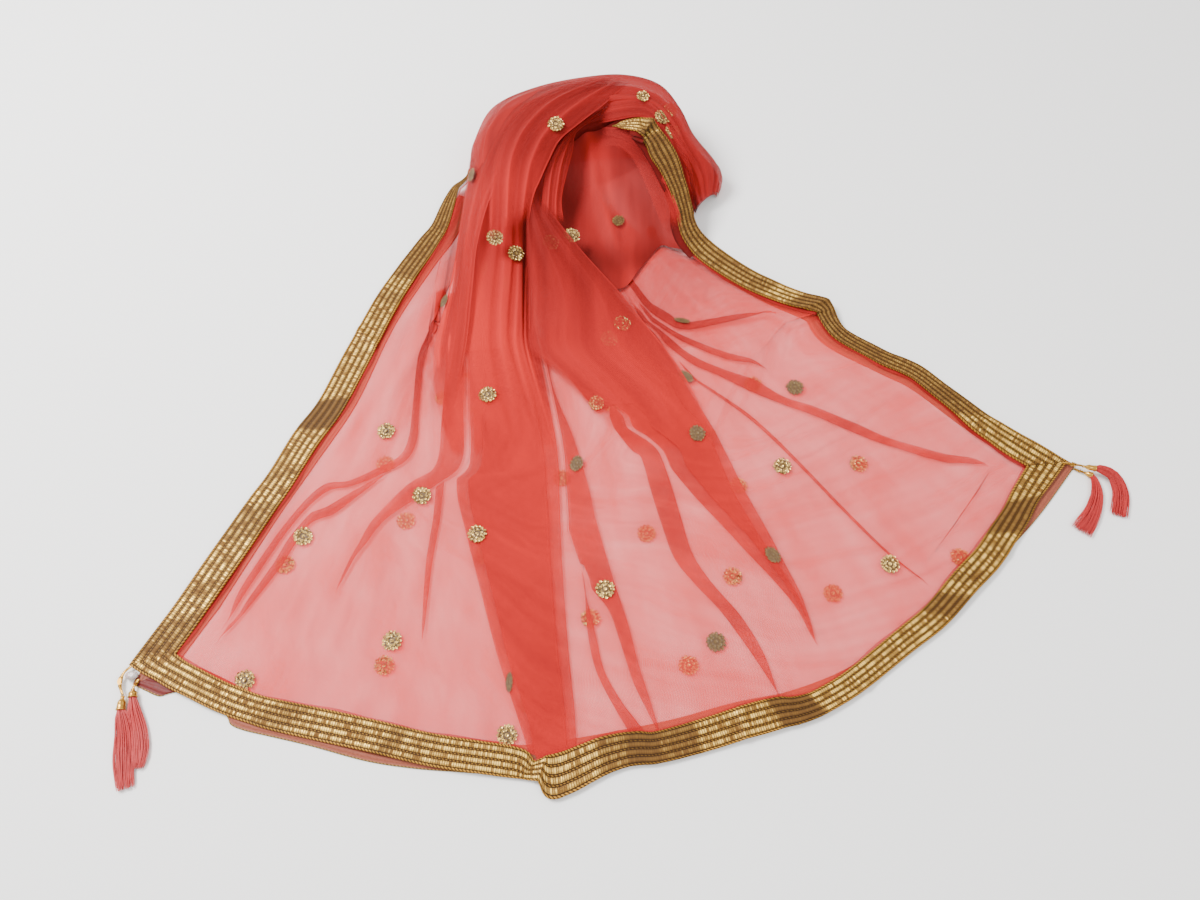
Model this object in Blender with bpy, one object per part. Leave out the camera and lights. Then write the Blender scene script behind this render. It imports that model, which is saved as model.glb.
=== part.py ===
"""Dupatta stole of sheer net, folded in half across its length and laid on a flat surface.

The two halves lie on each other as a fan, and the middle of the cloth is gathered into a
loose heap behind it.  Every size below is in millimetres; MM turns it into metres.
X runs to the right, Y away from the front hem, Z up, and the surface is Z = 0.
"""
import math

import bmesh
import bpy
import numpy as np
from mathutils.bvhtree import BVHTree
from mathutils import Vector

MM = 0.001

# ---- driving sizes ---------------------------------------------------------------------
WALL = 1.2                 # wall of one layer of cloth
SEAM = 0.3                 # gap between neighbouring pieces
BORDER_WIDTH = 31.0        # woven gold border
LOWER_Z = 0.0              # underside of the lower half
UPPER_Z = LOWER_Z + WALL + SEAM
PLEAT_STEP = 1.3           # height that one folded pleat adds
HEAP_Z = UPPER_Z           # underside of the heaped cloth that lies on the lower half
FAN_ROWS = 22              # rows of the upper half between hem and neck
LOWER_ROWS = 12            # the same for the lower half
LOWER_COLUMNS = 32         # columns of the lower half from side to side
CLIMB_STATIONS = 16        # stations of the right border where it climbs the heap
CENTRE = (-1.4, 11.2)      # moved to the origin, so that the box is centred on it

# ---- outline of the upper half: outer edge of its border --------------------------------
# columns: x, y, z of the outer edge, width of the border seen from above
LEFT_EDGE = [
    (-220, 286, 5.0, 9), (-232, 268, 4.0, 14), (-247, 228, 3.0, 20), (-267, 196, 2.0, 24),
    (-301, 130, 1.0, 28), (-318, 81, 0.0, 30), (-343, 1, 0.0, 31), (-377, -65, 0.0, 31),
    (-407, -127, 0.0, 31), (-452, -227, 0.0, 31), (-482, -292, 0.0, 31),
]
HEM_EDGE = [
    (-482, -292, 0.0, 31), (-444, -310, 0.0, 31), (-383, -337, 0.0, 31), (-327, -352, 0.0, 31),
    (-225, -373, 0.0, 31), (-112, -390, 0.0, 31), (10, -377, 0.0, 31), (80, -358, 0.0, 31),
    (136, -344, 0.0, 31), (199, -309, 0.0, 31), (280, -254, 0.0, 31), (347, -185, 0.0, 31),
    (384, -146, 0.0, 31), (431, -80, 0.0, 31),
]
# the hem's border is doubled over on itself here; columns: x, overhang past the edge
HEM_FOLD = [(-108, 0.0), (-97, 13.0), (-70, 12.0), (-48, 4.0), (-38, 0.0)]
RIGHT_EDGE = [
    (431, -80, 0.0, 31), (366, -25, 0.0, 31), (306, 33, 0.0, 28), (268, 55, 0.0, 25),
    (220, 88, 2.0, 25), (205, 121, 8.0, 26), (157, 149, 4.0, 27), (114, 178, 5.0, 26),
    (85, 200, 8.0, 22), (67, 220, 18.0, 19), (60, 238, 32.0, 18), (51, 265, 50.0, 20),
    (42, 286, 62.0, 22), (30, 303, 70.0, 24), (12, 322, 78.0, 26), (-8, 327, 79.0, 24),
    (-30, 325, 72.0, 18),
]
FAN_END_ON_RIGHT = 8       # row of RIGHT_EDGE where the fan ends and the heap begins

# ---- outline of the lower half, which shows past the upper one at the hem ----------------
LOWER_LEFT_EDGE = [
    (-194, 288, 0, 26), (-226, 232, 0, 28), (-262, 170, 0, 30), (-286, 128, 0, 31),
    (-308, 78, 0, 31), (-334, 0, 0, 31), (-367, -66, 0, 31), (-397, -128, 0, 31),
    (-442, -226, 0, 31), (-476, -308, 0, 31),
]
LOWER_HEM_EDGE = [
    (-476, -308, 0, 31), (-446, -318, 0, 31), (-414, -322, 0, 31), (-381, -344, 0, 31),
    (-326, -359, 0, 31), (-224, -380, 0, 31), (-153, -389, 0, 31), (-106, -392, 0, 31),
    (10, -372, 0, 31), (80, -353, 0, 31), (136, -339, 0, 31), (200, -305, 0, 31),
    (279, -250, 0, 31), (349, -184, 0, 31), (391, -139, 0, 31), (440, -83, 0, 31),
]
LOWER_RIGHT_EDGE = [
    (440, -83, 0, 31), (368, -31, 0, 31), (303, 24, 0, 30), (262, 48, 0, 30),
    (214, 80, 0, 30), (188, 108, 0, 28), (144, 134, 0, 28), (104, 160, 0, 26),
    (86, 178, 0, 23), (68, 204, 0, 20),
]

# ---- neck of each half: where the fan's rays end -----------------------------------------
# columns: share of the hem, x, y; between the inner ends of the two side borders
UPPER_NECK = [
    (0.02, -220, 200), (0.05, -225, 130), (0.12, -231, 92), (0.28, -234, 56),
    (0.36, -180, 57), (0.46, -121, 57), (0.50, -119, 100), (0.58, -117, 145),
    (0.68, -20, 131), (0.84, 3, 163), (0.94, 26, 193),
]
LOWER_NECK = [(0.30, -140, 285), (0.50, -100, 278), (0.70, -30, 245), (0.85, 5, 215), (0.93, 22, 193)]

# ---- pleats of the upper half ------------------------------------------------------------
# name: (folded layers that it adds, rows of x, y, width from the neck towards the hem)
PLEATS = {
    "left_long": (1, [(-232, 60, 8), (-234, -29, 14), (-264, -80, 17), (-317, -144, 12),
                      (-366, -212, 8), (-402, -262, 3)]),
    "left_short": (1, [(-222, 58, 12), (-208, -20, 24), (-212, -92, 20), (-250, -140, 13),
                       (-299, -209, 4)]),
    "left_faint": (1, [(-196, -60, 8), (-203, -140, 8), (-212, -190, 6), (-218, -262, 2)]),
    "ray_left": (2, [(-170, 60, 88), (-140, -65, 94), (-125, -180, 86), (-110, -276, 66),
                     (-94, -352, 44)]),
    "ray_left_core": (1, [(-170, 60, 64), (-140, -65, 76), (-125, -180, 70), (-110, -276, 50),
                          (-96, -352, 30)]),
    "strip_thin": (1, [(-60, -150, 4), (-47, -250, 8), (-30, -310, 6), (-8, -340, 3)]),
    "strip_inner": (1, [(-101, 40, 8), (-70, -60, 20), (-50, -150, 20), (-33, -235, 18),
                        (-8, -318, 6)]),
    "strip_outer": (1, [(-20, -60, 22), (14, -140, 22), (42, -200, 18), (78, -262, 10),
                        (110, -308, 3)]),
    "ray_right": (2, [(-62, 128, 76), (-30, 60, 92), (4, -20, 88), (46, -100, 78),
                      (92, -176, 46), (138, -232, 8)]),
    "ray_right_core": (1, [(-62, 128, 54), (-30, 60, 66), (4, -20, 62), (46, -100, 52),
                           (84, -164, 26), (110, -200, 4)]),
    "right_crease": (1, [(49, 14, 4), (111, -20, 7), (184, -118, 7), (245, -186, 5),
                         (272, -222, 2)]),
    "right_long": (1, [(-4, 79, 14), (62, 59, 12), (167, 14, 9), (264, -46, 6), (350, -76, 3)]),
    "right_short": (1, [(-6, 104, 16), (52, 93, 12), (143, 84, 7), (200, 80, 3)]),
}
PLEAT_ORDER = [
    ("left_long",), ("left_short",), ("left_faint",), ("ray_left", "ray_left_core"),
    ("strip_thin",), ("strip_inner",), ("strip_outer",), ("ray_right", "ray_right_core"),
    ("right_crease",), ("right_long",), ("right_short",),
]

# ---- heaped cloth ------------------------------------------------------------------------
# columns: y, x of the left side, x of the right side, height
DROP_SECTIONS = [
    (60, -230, -124, 8), (90, -225, -125, 11), (130, -219, -126, 17), (170, -215, -126, 25),
    (210, -212, -127, 35), (250, -208, -128, 46), (280, -206, -128, 55), (299.7, -205, -128, 60),
]
# columns: inner foot x, y, outer foot x, y, height, how square the inner side is
CROWN_SECTIONS = [
    (-128, 300, -205, 300, 60, 2.3), (-118, 318, -203, 336, 66, 2.6),
    (-94, 331, -186, 382, 71, 3.2), (-64, 338, -138, 409, 75, 3.6),
    (-34, 343, -78, 421, 79, 3.8), (-6, 342, -22, 425, 80, 3.8), (15, 333, 24, 410, 78, 3.4),
    (31, 315, 50, 372, 72, 3.0), (43, 295, 66, 338, 60, 2.8), (55, 270, 98, 306, 38, 2.5),
    (64, 252, 94, 280, 18, 2.2),
]
SIDE_POINTS = 29           # points across one section of a heap
LOBES = 7                  # soft pleats that run along a heap
LOBE_DEPTH = 0.05          # their depth, as a share of the height

# the hollow between drop and border: front and back foot, then heights from front to back
# columns: front x, y, back x, y, and the four heights
HOLLOW_SECTIONS = [
    (-122, 150, -127.5, 299, 22, 30, 36, 40), (-98, 148, -107, 322, 18, 28, 34, 40),
    (-66, 144, -85, 331.5, 12, 18, 24, 36), (-25, 139, -59, 337, 8, 13, 20, 44),
    (-2, 168, -31, 341, 8, 14, 26, 58), (21, 199, -5, 339.5, 10, 18, 36, 70),
    (34, 196.5, 14, 331.0, 10, 20, 42, 72), (44, 194.5, 30.5, 313.5, 9, 20, 44, 66),
    (54, 192.5, 42.5, 293.5, 8, 20, 40, 56), (64, 191, 55, 268, 7, 18, 34, 44),
]
HOLLOW_ROWS = 12

# ---- tassels ------------------------------------------------------------------------------
# name: (cap x, y, z, turned by degrees, length, radius, rows of x, y, half width of the lock)
TASSELS = {
    "left_upper": (-480, -326, 4.6, -86, 13, 4.0, [(-479, -342, 5), (-476, -358, 7),
                                                   (-473, -376, 8), (-463, -400, 8)]),
    "left_lower": (-472, -317, 4.6, -80, 8, 4.0, [(-467.5, -334, 5), (-460, -350, 7.5),
                                                  (-455, -368, 7.5), (-453, -384, 6)]),
    "right_upper": (448, -90, 10.0, -12, 13, 3.0, [(464, -93, 5), (475, -104, 8),
                                                   (476, -122, 8), (467, -145, 9)]),
    "right_lower": (449, -94, 3.4, -24, 8, 3.0, [(456, -103, 4), (456, -117, 5),
                                                 (446, -135, 6), (430, -158, 9)]),
}
# thread loops from the corners of the cloth to the caps; rows of x, y, z
CORDS = {
    "left_upper": [(-479, -292, 3.9), (-484.5, -298.5, 4.2), (-486, -308, 4.6), (-480.6, -319.0, 4.6)],
    "left_lower": [(-470.5, -304, 2.4), (-472, -309, 3.4), (-472.8, -312.6, 4.6)],
    "right_upper": [(424, -82, 3.9), (432, -84, 6.0), (438, -87, 9.0), (441.3, -88.5, 10.0)],
    "right_lower": [(436, -88, 2.4), (441, -90.4, 2.8), (445.0, -92.2, 3.4)],
}
CORD_RADIUS = 0.8
BEAD_PLACE = (-474.6, -300.6, 3.32)
BEAD_RADII = (3.9, 3.3, 2.4)
CAP_SIDES = 12
# columns: share of the cap's length, share of its radius
CAP_PROFILE = [(0.0, 0.4), (0.18, 0.4), (0.38, 0.75), (0.8, 1.0), (1.0, 1.0)]
HEAD_SHARE = 0.72          # half side of the square thread head, as a share of the cap radius
HEAD_LENGTH = 1.6
TIER_HEIGHT = 2.6          # height between the two tiers of threads
STRANDS_ACROSS = 12
STRANDS_DEEP = 2
STRAND_STATIONS = 5
STRAND_HALF = 0.22         # half the side of one strand

COLOURS = {                # base colour, roughness, metallic
    "net": ((0.80, 0.14, 0.11), 0.75, 0.0),
    "gold": ((0.62, 0.42, 0.15), 0.35, 0.85),
    "thread": ((0.75, 0.16, 0.12), 0.6, 0.0),
    "bead": ((0.85, 0.80, 0.74), 0.3, 0.0),
}


# ---- curves --------------------------------------------------------------------------------
class Curve:
    """A smooth curve through table rows, read by its share of length."""

    STEPS = 12

    def __init__(self, rows):
        points = np.array(rows, dtype=float)
        padded = np.vstack([2 * points[0] - points[1], points, 2 * points[-1] - points[-2]])
        dense = []
        for i in range(1, len(padded) - 2):
            before, start, end, after = padded[i - 1:i + 3]
            for k in range(self.STEPS):
                f = k / self.STEPS
                dense.append(0.5 * (2 * start + (end - before) * f
                                    + (2 * before - 5 * start + 4 * end - after) * f ** 2
                                    + (3 * start - before - 3 * end + after) * f ** 3))
        dense.append(points[-1])
        self.dense = np.array(dense)
        steps = np.linalg.norm(np.diff(self.dense[:, :2], axis=0), axis=1)
        self.at_length = np.concatenate([[0.0], np.cumsum(steps)])
        self.length = self.at_length[-1]

    def __call__(self, share):
        """The row at a share of the curve's length."""
        s = np.clip(share, 0.0, 1.0) * self.length
        return np.array([np.interp(s, self.at_length, column) for column in self.dense.T])

    def left_normal(self, share):
        """Unit vector to the left of the direction of travel, seen from above."""
        step = 0.004
        along = self(share + step)[:2] - self(share - step)[:2]
        return np.array([-along[1], along[0]]) / np.linalg.norm(along)

    def share_of_row(self, row):
        """Share of the length at which a table row lies."""
        return self.at_length[row * self.STEPS] / self.length


MITRE_REACH = 0.1          # share of a border over which its inner edge bends to the corner


class Border:
    """Outer and inner edge of a border; both run with the cloth on their left."""

    def __init__(self, rows, mitre_start, mitre_end, fold=((0, 0.0),)):
        self.outer = Curve(rows)
        self.fold = np.array(fold, dtype=float)
        length = self.outer.length
        self.first = BORDER_WIDTH / length if mitre_start else 0.0
        self.last = 1.0 - (BORDER_WIDTH / length if mitre_end else 0.0)
        self.start_shift = np.zeros(2)
        self.end_shift = np.zeros(2)

    def outer_at(self, share):
        x, y, z = self.outer(share)[:3]
        overhang = np.interp(x, self.fold[:, 0], self.fold[:, 1])
        outward = self.outer.left_normal(share) * -overhang
        return np.array([x + outward[0], y + outward[1], z])

    def mitred_to(self, following):
        """Gives this border's end and the next one's start the same inner corner."""
        here = self.inner_at(1.0)[:2]
        there = following.inner_at(0.0)[:2]
        self.end_shift = 0.5 * (there - here)
        following.start_shift = 0.5 * (here - there)

    def inner_at(self, share, extra=0.0):
        """Point of the inner edge, moved extra millimetres further into the cloth."""
        place = self.first + (self.last - self.first) * share
        x, y, z, width = self.outer(place)
        inward = self.outer.left_normal(place) * (width + extra)
        inward += self.start_shift * max(0.0, 1.0 - share / MITRE_REACH)
        inward += self.end_shift * max(0.0, 1.0 - (1.0 - share) / MITRE_REACH)
        return np.array([x + inward[0], y + inward[1], z])


def smooth_step(value):
    value = np.clip(value, 0.0, 1.0)
    return value * value * (3.0 - 2.0 * value)


# ---- fans ----------------------------------------------------------------------------------
class Fan:
    """Plan of one half: rays from the hem to the neck between the two side borders."""

    def __init__(self, left, hem, right, neck, right_end=1.0):
        self.left = left
        self.hem = hem
        self.right = right
        self.right_end = right_end
        first = left.inner_at(0.0, SEAM)
        last = right.inner_at(right_end, SEAM)
        self.neck = np.array([(0.0, *first[:2])] + neck + [(1.0, *last[:2])], dtype=float)

    def neck_at(self, across):
        return np.array([np.interp(across, self.neck[:, 0], self.neck[:, k]) for k in (1, 2)])

    def at(self, across, up):
        """Plan point and lift; across runs left to right, up from hem to neck."""
        hem = self.hem.inner_at(across, SEAM)
        start = self.hem.inner_at(0.0, SEAM)
        end = self.hem.inner_at(1.0, SEAM)
        left = self.left.inner_at(1.0 - up, SEAM)
        right = self.right.inner_at(up * self.right_end, SEAM)
        corner = 1.5 * SEAM * max(0.0, 1.0 - up / MITRE_REACH)
        left[:2] += self.hem.outer.left_normal(self.hem.first) * corner
        right[:2] += self.hem.outer.left_normal(self.hem.last) * corner
        ray = (1 - up) * hem[:2] + up * self.neck_at(across)
        left_bow = left[:2] - ((1 - up) * start[:2] + up * self.neck_at(0.0))
        right_bow = right[:2] - ((1 - up) * end[:2] + up * self.neck_at(1.0))
        plan = ray + (1 - across) ** 2 * left_bow + across ** 2 * right_bow
        lift = (left[2] * (1 - smooth_step(across / 0.08)) + hem[2] * (1 - smooth_step(up / 0.1))
                + right[2] * smooth_step((across - 0.72) / 0.28))
        return np.array([plan[0], plan[1], lift])

    def sample(self, steps=160):
        """Lookup grid, used to find where a plan point lies."""
        shares = np.linspace(0.0, 1.0, steps + 1)
        self.shares = shares
        self.grid = np.array([[self.at(a, u)[:2] for a in shares] for u in shares])

    def locate(self, x, y):
        """Across and up of the plan point nearest to x, y."""
        distance = np.hypot(self.grid[..., 0] - x, self.grid[..., 1] - y)
        row, column = np.unravel_index(np.argmin(distance), distance.shape)
        return self.shares[column], self.shares[row]

    def width_at(self, across, up):
        """Millimetres of plan for each unit of across."""
        step = 0.01
        low = self.at(max(across - step, 0.0), up)[:2]
        high = self.at(min(across + step, 1.0), up)[:2]
        return np.linalg.norm(high - low) / (min(across + step, 1.0) - max(across - step, 0.0))


def pleat_track(fan, rows):
    """Centre, half width and span of a pleat in the fan's own coordinates."""
    track = []
    for x, y, width in rows:
        across, up = fan.locate(x, y)
        track.append((up, across, 0.5 * width / fan.width_at(across, up)))
    track.sort()
    return np.array(track)


EDGE_SHARE = 0.0035        # plan share over which a pleat's side rises


def pleat_columns(tracks, up):
    """Columns across the fan at one height, as pairs of across and raised layers."""
    columns = []
    for group in tracks:
        outer = group[0][1]
        centre = np.interp(up, outer[:, 0], outer[:, 1])
        half = max(np.interp(up, outer[:, 0], outer[:, 2]), 0.002)
        layers = group[0][0] * smooth_step((up - outer[0, 0] + 0.04) / 0.04)
        layers *= 1.0 - smooth_step((up - outer[-1, 0]) / 0.04)
        rise = [(centre - half - EDGE_SHARE, 0.0), (centre - half, layers)]
        fall = [(centre + half, layers), (centre + half + EDGE_SHARE, 0.0)]
        for layers_inside, track in group[1:]:
            inside = np.interp(up, track[:, 0], track[:, 2])
            inside = min(max(inside, 0.001), half - 2 * EDGE_SHARE)
            inside = max(inside, 0.0008)
            full = layers + layers_inside * min(layers, 1.0) * smooth_step((half - 0.008) / 0.01)
            rise += [(centre - inside - EDGE_SHARE, layers), (centre - inside, full)]
            fall = [(centre + inside, full), (centre + inside + EDGE_SHARE, layers)] + fall
        columns += rise + fall
    return columns


LEAST_STEP = 0.0016        # least distance between two columns


def spread(columns, extra):
    """Keeps the columns in order and fills the widest stretches between the pleats."""
    across = np.array([0.0] + [c[0] for c in columns] + [1.0])
    layers = np.array([0.0] + [c[1] for c in columns] + [0.0])
    count = len(across)
    for i in range(1, count):
        across[i] = max(across[i], across[i - 1] + LEAST_STEP)
    across[-1] = 1.0
    for i in range(count - 2, -1, -1):
        across[i] = min(across[i], across[i + 1] - LEAST_STEP)
    result = []
    for i in range(count - 1):
        result.append((across[i], layers[i]))
        for k in range(extra[i]):
            f = (k + 1) / (extra[i] + 1)
            result.append((across[i] + (across[i + 1] - across[i]) * f,
                           layers[i] + (layers[i + 1] - layers[i]) * f))
    result.append((across[-1], layers[-1]))
    return result


def pleated_grid(fan):
    """Top and underside of the pleated upper half from hem to neck, and its hem's columns."""
    tracks = []
    extra = [2]
    for group in PLEAT_ORDER:
        tracks.append([(PLEATS[name][0], pleat_track(fan, PLEATS[name][1])) for name in group])
        inside = 1 if len(group) > 1 else 0
        extra += [0] * (2 * len(group) - 1) + [inside] + [0] * (2 * len(group) - 1) + [1]
    extra[-1] = 2
    top = []
    under = []
    hem_columns = []
    for i in range(FAN_ROWS + 1):
        up = i / FAN_ROWS
        row = spread(pleat_columns(tracks, up), extra)
        if i == 0:
            hem_columns = [across for across, _ in row]
        plan = [fan.at(across, up) for across, _ in row]
        top.append([(p[0], p[1], UPPER_Z + p[2] + WALL + PLEAT_STEP * c[1])
                    for p, c in zip(plan, row)])
        under.append([(p[0], p[1], UPPER_Z + p[2]) for p in plan])
    return top, under, hem_columns


# ---- solids --------------------------------------------------------------------------------
def add_object(name, mesh_data, material):
    """Links a bmesh as a named object, in metres and centred on the origin."""
    for vert in mesh_data.verts:
        vert.co.x = (vert.co.x - CENTRE[0]) * MM
        vert.co.y = (vert.co.y - CENTRE[1]) * MM
        vert.co.z *= MM
    mesh = bpy.data.meshes.new(name)
    mesh_data.to_mesh(mesh)
    mesh_data.free()
    obj = bpy.data.objects.new(name, mesh)
    obj.data.materials.append(material)
    bpy.context.scene.collection.objects.link(obj)
    return obj


def grid_faces(mesh_data, rows):
    """Quads over rows of points, turned up where the rows run left to right, front to back."""
    verts = [[mesh_data.verts.new(p) for p in row] for row in rows]
    for low, high in zip(verts[:-1], verts[1:]):
        for i in range(len(low) - 1):
            mesh_data.faces.new((low[i], low[i + 1], high[i + 1], high[i]))
    return verts


def wall_solid(name, top, under, material):
    """A closed wall: the top grid is extruded down onto the underside's grid."""
    mesh_data = bmesh.new()
    grid_faces(mesh_data, top)
    lower = [p for row in under for p in row]
    mesh_data.verts.ensure_lookup_table()
    source = list(mesh_data.verts)
    copy = bmesh.ops.duplicate(mesh_data, geom=list(mesh_data.faces) + list(mesh_data.edges) + source)
    bottom_of = copy["vert_map"]
    for vert, place in zip(source, lower):
        bottom_of[vert].co = place
    bottom_faces = [item for item in copy["geom"] if isinstance(item, bmesh.types.BMFace)]
    bmesh.ops.reverse_faces(mesh_data, faces=bottom_faces)
    rims = [edge for edge in mesh_data.edges if edge.is_boundary]
    bmesh.ops.bridge_loops(mesh_data, edges=rims)
    bmesh.ops.recalc_face_normals(mesh_data, faces=mesh_data.faces)
    return add_object(name, mesh_data, material)


def heap_solid(name, sections, material):
    """A closed heap: open sections over the top, a flat underside and flat ends."""
    mesh_data = bmesh.new()
    verts = grid_faces(mesh_data, sections)
    for low, high in zip(verts[:-1], verts[1:]):
        mesh_data.faces.new((low[-1], low[0], high[0], high[-1]))
    mesh_data.faces.new(list(reversed(verts[0])))
    mesh_data.faces.new(verts[-1])
    bmesh.ops.triangulate(mesh_data, faces=mesh_data.faces)
    bmesh.ops.recalc_face_normals(mesh_data, faces=mesh_data.faces)
    return add_object(name, mesh_data, material)


def heap_section(start, end, foot, height, square_start, square_end, phase):
    """Section between two feet: a rounded, softly pleated hump over a flat foot."""
    start = np.array(start, dtype=float)
    end = np.array(end, dtype=float)
    points = []
    for k in range(SIDE_POINTS):
        angle = math.pi * k / (SIDE_POINTS - 1)
        side = -math.cos(angle)
        square = square_start if side < 0 else square_end
        reach = math.copysign(abs(side) ** (2.0 / square), side)
        rise = math.sin(angle) ** (2.0 / square) if 0 < k < SIDE_POINTS - 1 else 0.0
        lobe = 1.0 + LOBE_DEPTH * (2 * abs(math.cos(LOBES * angle + phase)) - 1) * math.sin(angle)
        plan = start + (end - start) * 0.5 * (1.0 + reach)
        points.append((plan[0], plan[1], foot + (height - foot) * rise * lobe))
    return points


def drop_sections():
    """Rows from back to front, so that their faces point up."""
    rows = []
    table = np.array(DROP_SECTIONS, dtype=float)
    count = 14
    for i in range(count + 1):
        y = table[0, 0] + (table[-1, 0] - table[0, 0]) * i / count
        left, right, height = [np.interp(y, table[:, 0], table[:, k]) for k in (1, 2, 3)]
        rows.append(heap_section((left, y), (right, y), HEAP_Z, height, 2.3, 2.3, 0.05 * y))
    return rows


def crown_sections():
    """Rows round the arch, from the drop to the loose end on the right."""
    curve = Curve(CROWN_SECTIONS)
    rows = []
    count = 22
    for i in range(count + 1):
        x_in, y_in, x_out, y_out, height, square = curve(i / count)
        rows.append(heap_section((x_out, y_out), (x_in, y_in), LOWER_Z, height, 2.2, square,
                                 0.3 * i))
    return rows


def hollow_grid():
    """Top and underside of the dense folds in the hollow, from front to back."""
    table = np.array(HOLLOW_SECTIONS, dtype=float)
    top = []
    under = []
    for i in range(HOLLOW_ROWS + 1):
        f = i / HOLLOW_ROWS
        plan = table[:, 0:2] * (1 - f) + table[:, 2:4] * f
        heights = [np.interp(f, (0.0, 0.33, 0.7, 1.0), row[4:8]) for row in table]
        top.append([(p[0], p[1], h) for p, h in zip(plan, heights)])
        under.append([(p[0], p[1], HEAP_Z) for p in plan])
    return top, under


def surface_tree(objects):
    """Lookup of the surfaces that a border is laid on, in metres."""
    verts = []
    faces = []
    for obj in objects:
        base = len(verts)
        verts += [obj.matrix_world @ vert.co for vert in obj.data.vertices]
        faces += [[base + index for index in face.vertices] for face in obj.data.polygons]
    return BVHTree.FromPolygons(verts, faces)


def height_under(tree, x, y):
    """Height of the surface below a plan point, or nothing."""
    start = Vector(((x - CENTRE[0]) * MM, (y - CENTRE[1]) * MM, 0.3))
    hit = tree.ray_cast(start, Vector((0, 0, -1)))[0]
    return None if hit is None else hit.z / MM


def draped(tree, point, base, clearance):
    """Moves a border's underside up until it clears what lies below it."""
    reach = 4.0
    height = base + point[2]
    for dx in (-reach, 0.0, reach):
        for dy in (-reach, 0.0, reach):
            found = height_under(tree, point[0] + dx, point[1] + dy)
            if found is not None:
                height = max(height, found + clearance)
    return height


def seam_gap(border, share, outer, inner, gap):
    """Draws the end of a border back along itself from its mitred corner."""
    normal = border.outer.left_normal(share)
    along = np.array([normal[1], -normal[0], 0.0]) * gap
    return outer + along, inner + along


def border_solid(name, border, base, material, shares, tree=None):
    """A flat woven strip; where a surface is given it is laid over it."""
    count = len(shares) - 1
    across = 4 if tree is not None else 1
    top = []
    under = []
    for i, share in enumerate(shares):
        outer = border.outer_at(share)
        inner = border.inner_at(share)
        if i == 0 and border.first > 0.0:
            outer, inner = seam_gap(border, share, outer, inner, SEAM)
        if i == count and border.last < 1.0:
            outer, inner = seam_gap(border, share, outer, inner, -SEAM)
        row_top = []
        row_under = []
        for k in range(across + 1):
            point = outer + (inner - outer) * k / across
            height = base + point[2]
            if tree is not None:
                height = draped(tree, point, base, 2 * SEAM)
            row_under.append((point[0], point[1], height))
            row_top.append((point[0], point[1], height + WALL))
        top.append(row_top[::-1])
        under.append(row_under[::-1])
    return wall_solid(name, top, under, material)


# ---- tassels -------------------------------------------------------------------------------
def turned(x, y, degrees):
    angle = math.radians(degrees)
    return np.array([math.cos(angle), math.sin(angle)]), np.array([x, y], dtype=float)


def cap_solid(name, x, y, z, degrees, length, radius, material):
    """A small bell: a narrow neck that widens to the thread side."""
    ahead, centre = turned(x, y, degrees)
    side = np.array([-ahead[1], ahead[0]])
    rings = []
    mesh_data = bmesh.new()
    for share, ratio in CAP_PROFILE:
        along = centre + ahead * length * (share - 0.5)
        ring = []
        for k in range(CAP_SIDES):
            angle = 2 * math.pi * k / CAP_SIDES
            plan = along + side * radius * ratio * math.cos(angle)
            ring.append(mesh_data.verts.new((*plan, z + radius * ratio * math.sin(angle))))
        rings.append(ring)
    for low, high in zip(rings[:-1], rings[1:]):
        for k in range(CAP_SIDES):
            n = (k + 1) % CAP_SIDES
            mesh_data.faces.new((low[k], low[n], high[n], high[k]))
    mesh_data.faces.new(rings[0][::-1])
    mesh_data.faces.new(rings[-1])
    bmesh.ops.recalc_face_normals(mesh_data, faces=mesh_data.faces)
    return add_object(name, mesh_data, material)


def lock_solid(name, x, y, z, degrees, length, radius, rows, material):
    """Threads of a tassel: each is drawn out of one cell of a small head plate."""
    ahead, centre = turned(x, y, degrees)
    side = np.array([-ahead[1], ahead[0]])
    front = centre + ahead * (0.5 * length + SEAM)
    columns = 2 * STRANDS_ACROSS + 1
    layers = 2 * STRANDS_DEEP + 1
    half_width = HEAD_SHARE * radius
    mesh_data = bmesh.new()
    verts = {}
    for end in (0, 1):
        for i in range(columns + 1):
            for j in range(layers + 1):
                if end == 0 and 0 < i < columns and 0 < j < layers:
                    continue
                across = half_width * (2.0 * i / columns - 1.0)
                plan = front + ahead * HEAD_LENGTH * end + side * across
                level = z + half_width * (2.0 * j / layers - 1.0)
                verts[end, i, j] = mesh_data.verts.new((*plan, level))
    rim = [(i, 0) for i in range(columns)] + [(columns, j) for j in range(layers)]
    rim += [(i, layers) for i in range(columns, 0, -1)] + [(0, j) for j in range(layers, 0, -1)]
    for here, there in zip(rim, rim[1:] + rim[:1]):
        mesh_data.faces.new((verts[(0,) + here], verts[(0,) + there],
                             verts[(1,) + there], verts[(1,) + here]))
    mesh_data.faces.new([verts[(0,) + here] for here in rim])
    path = Curve([(*(front + ahead * HEAD_LENGTH), half_width)] + rows)
    for i in range(columns):
        for j in range(layers):
            cell = [verts[1, i, j], verts[1, i + 1, j], verts[1, i + 1, j + 1], verts[1, i, j + 1]]
            if i % 2 == 0 or j % 2 == 0:
                mesh_data.faces.new(cell)
                continue
            ring = cell
            for k in range(1, STRAND_STATIONS + 1):
                ring = strand_ring(mesh_data, ring, path, k / STRAND_STATIONS, i // 2, j // 2, z)
            mesh_data.faces.new(ring)
    bmesh.ops.recalc_face_normals(mesh_data, faces=mesh_data.faces)
    return add_object(name, mesh_data, material)


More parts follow.
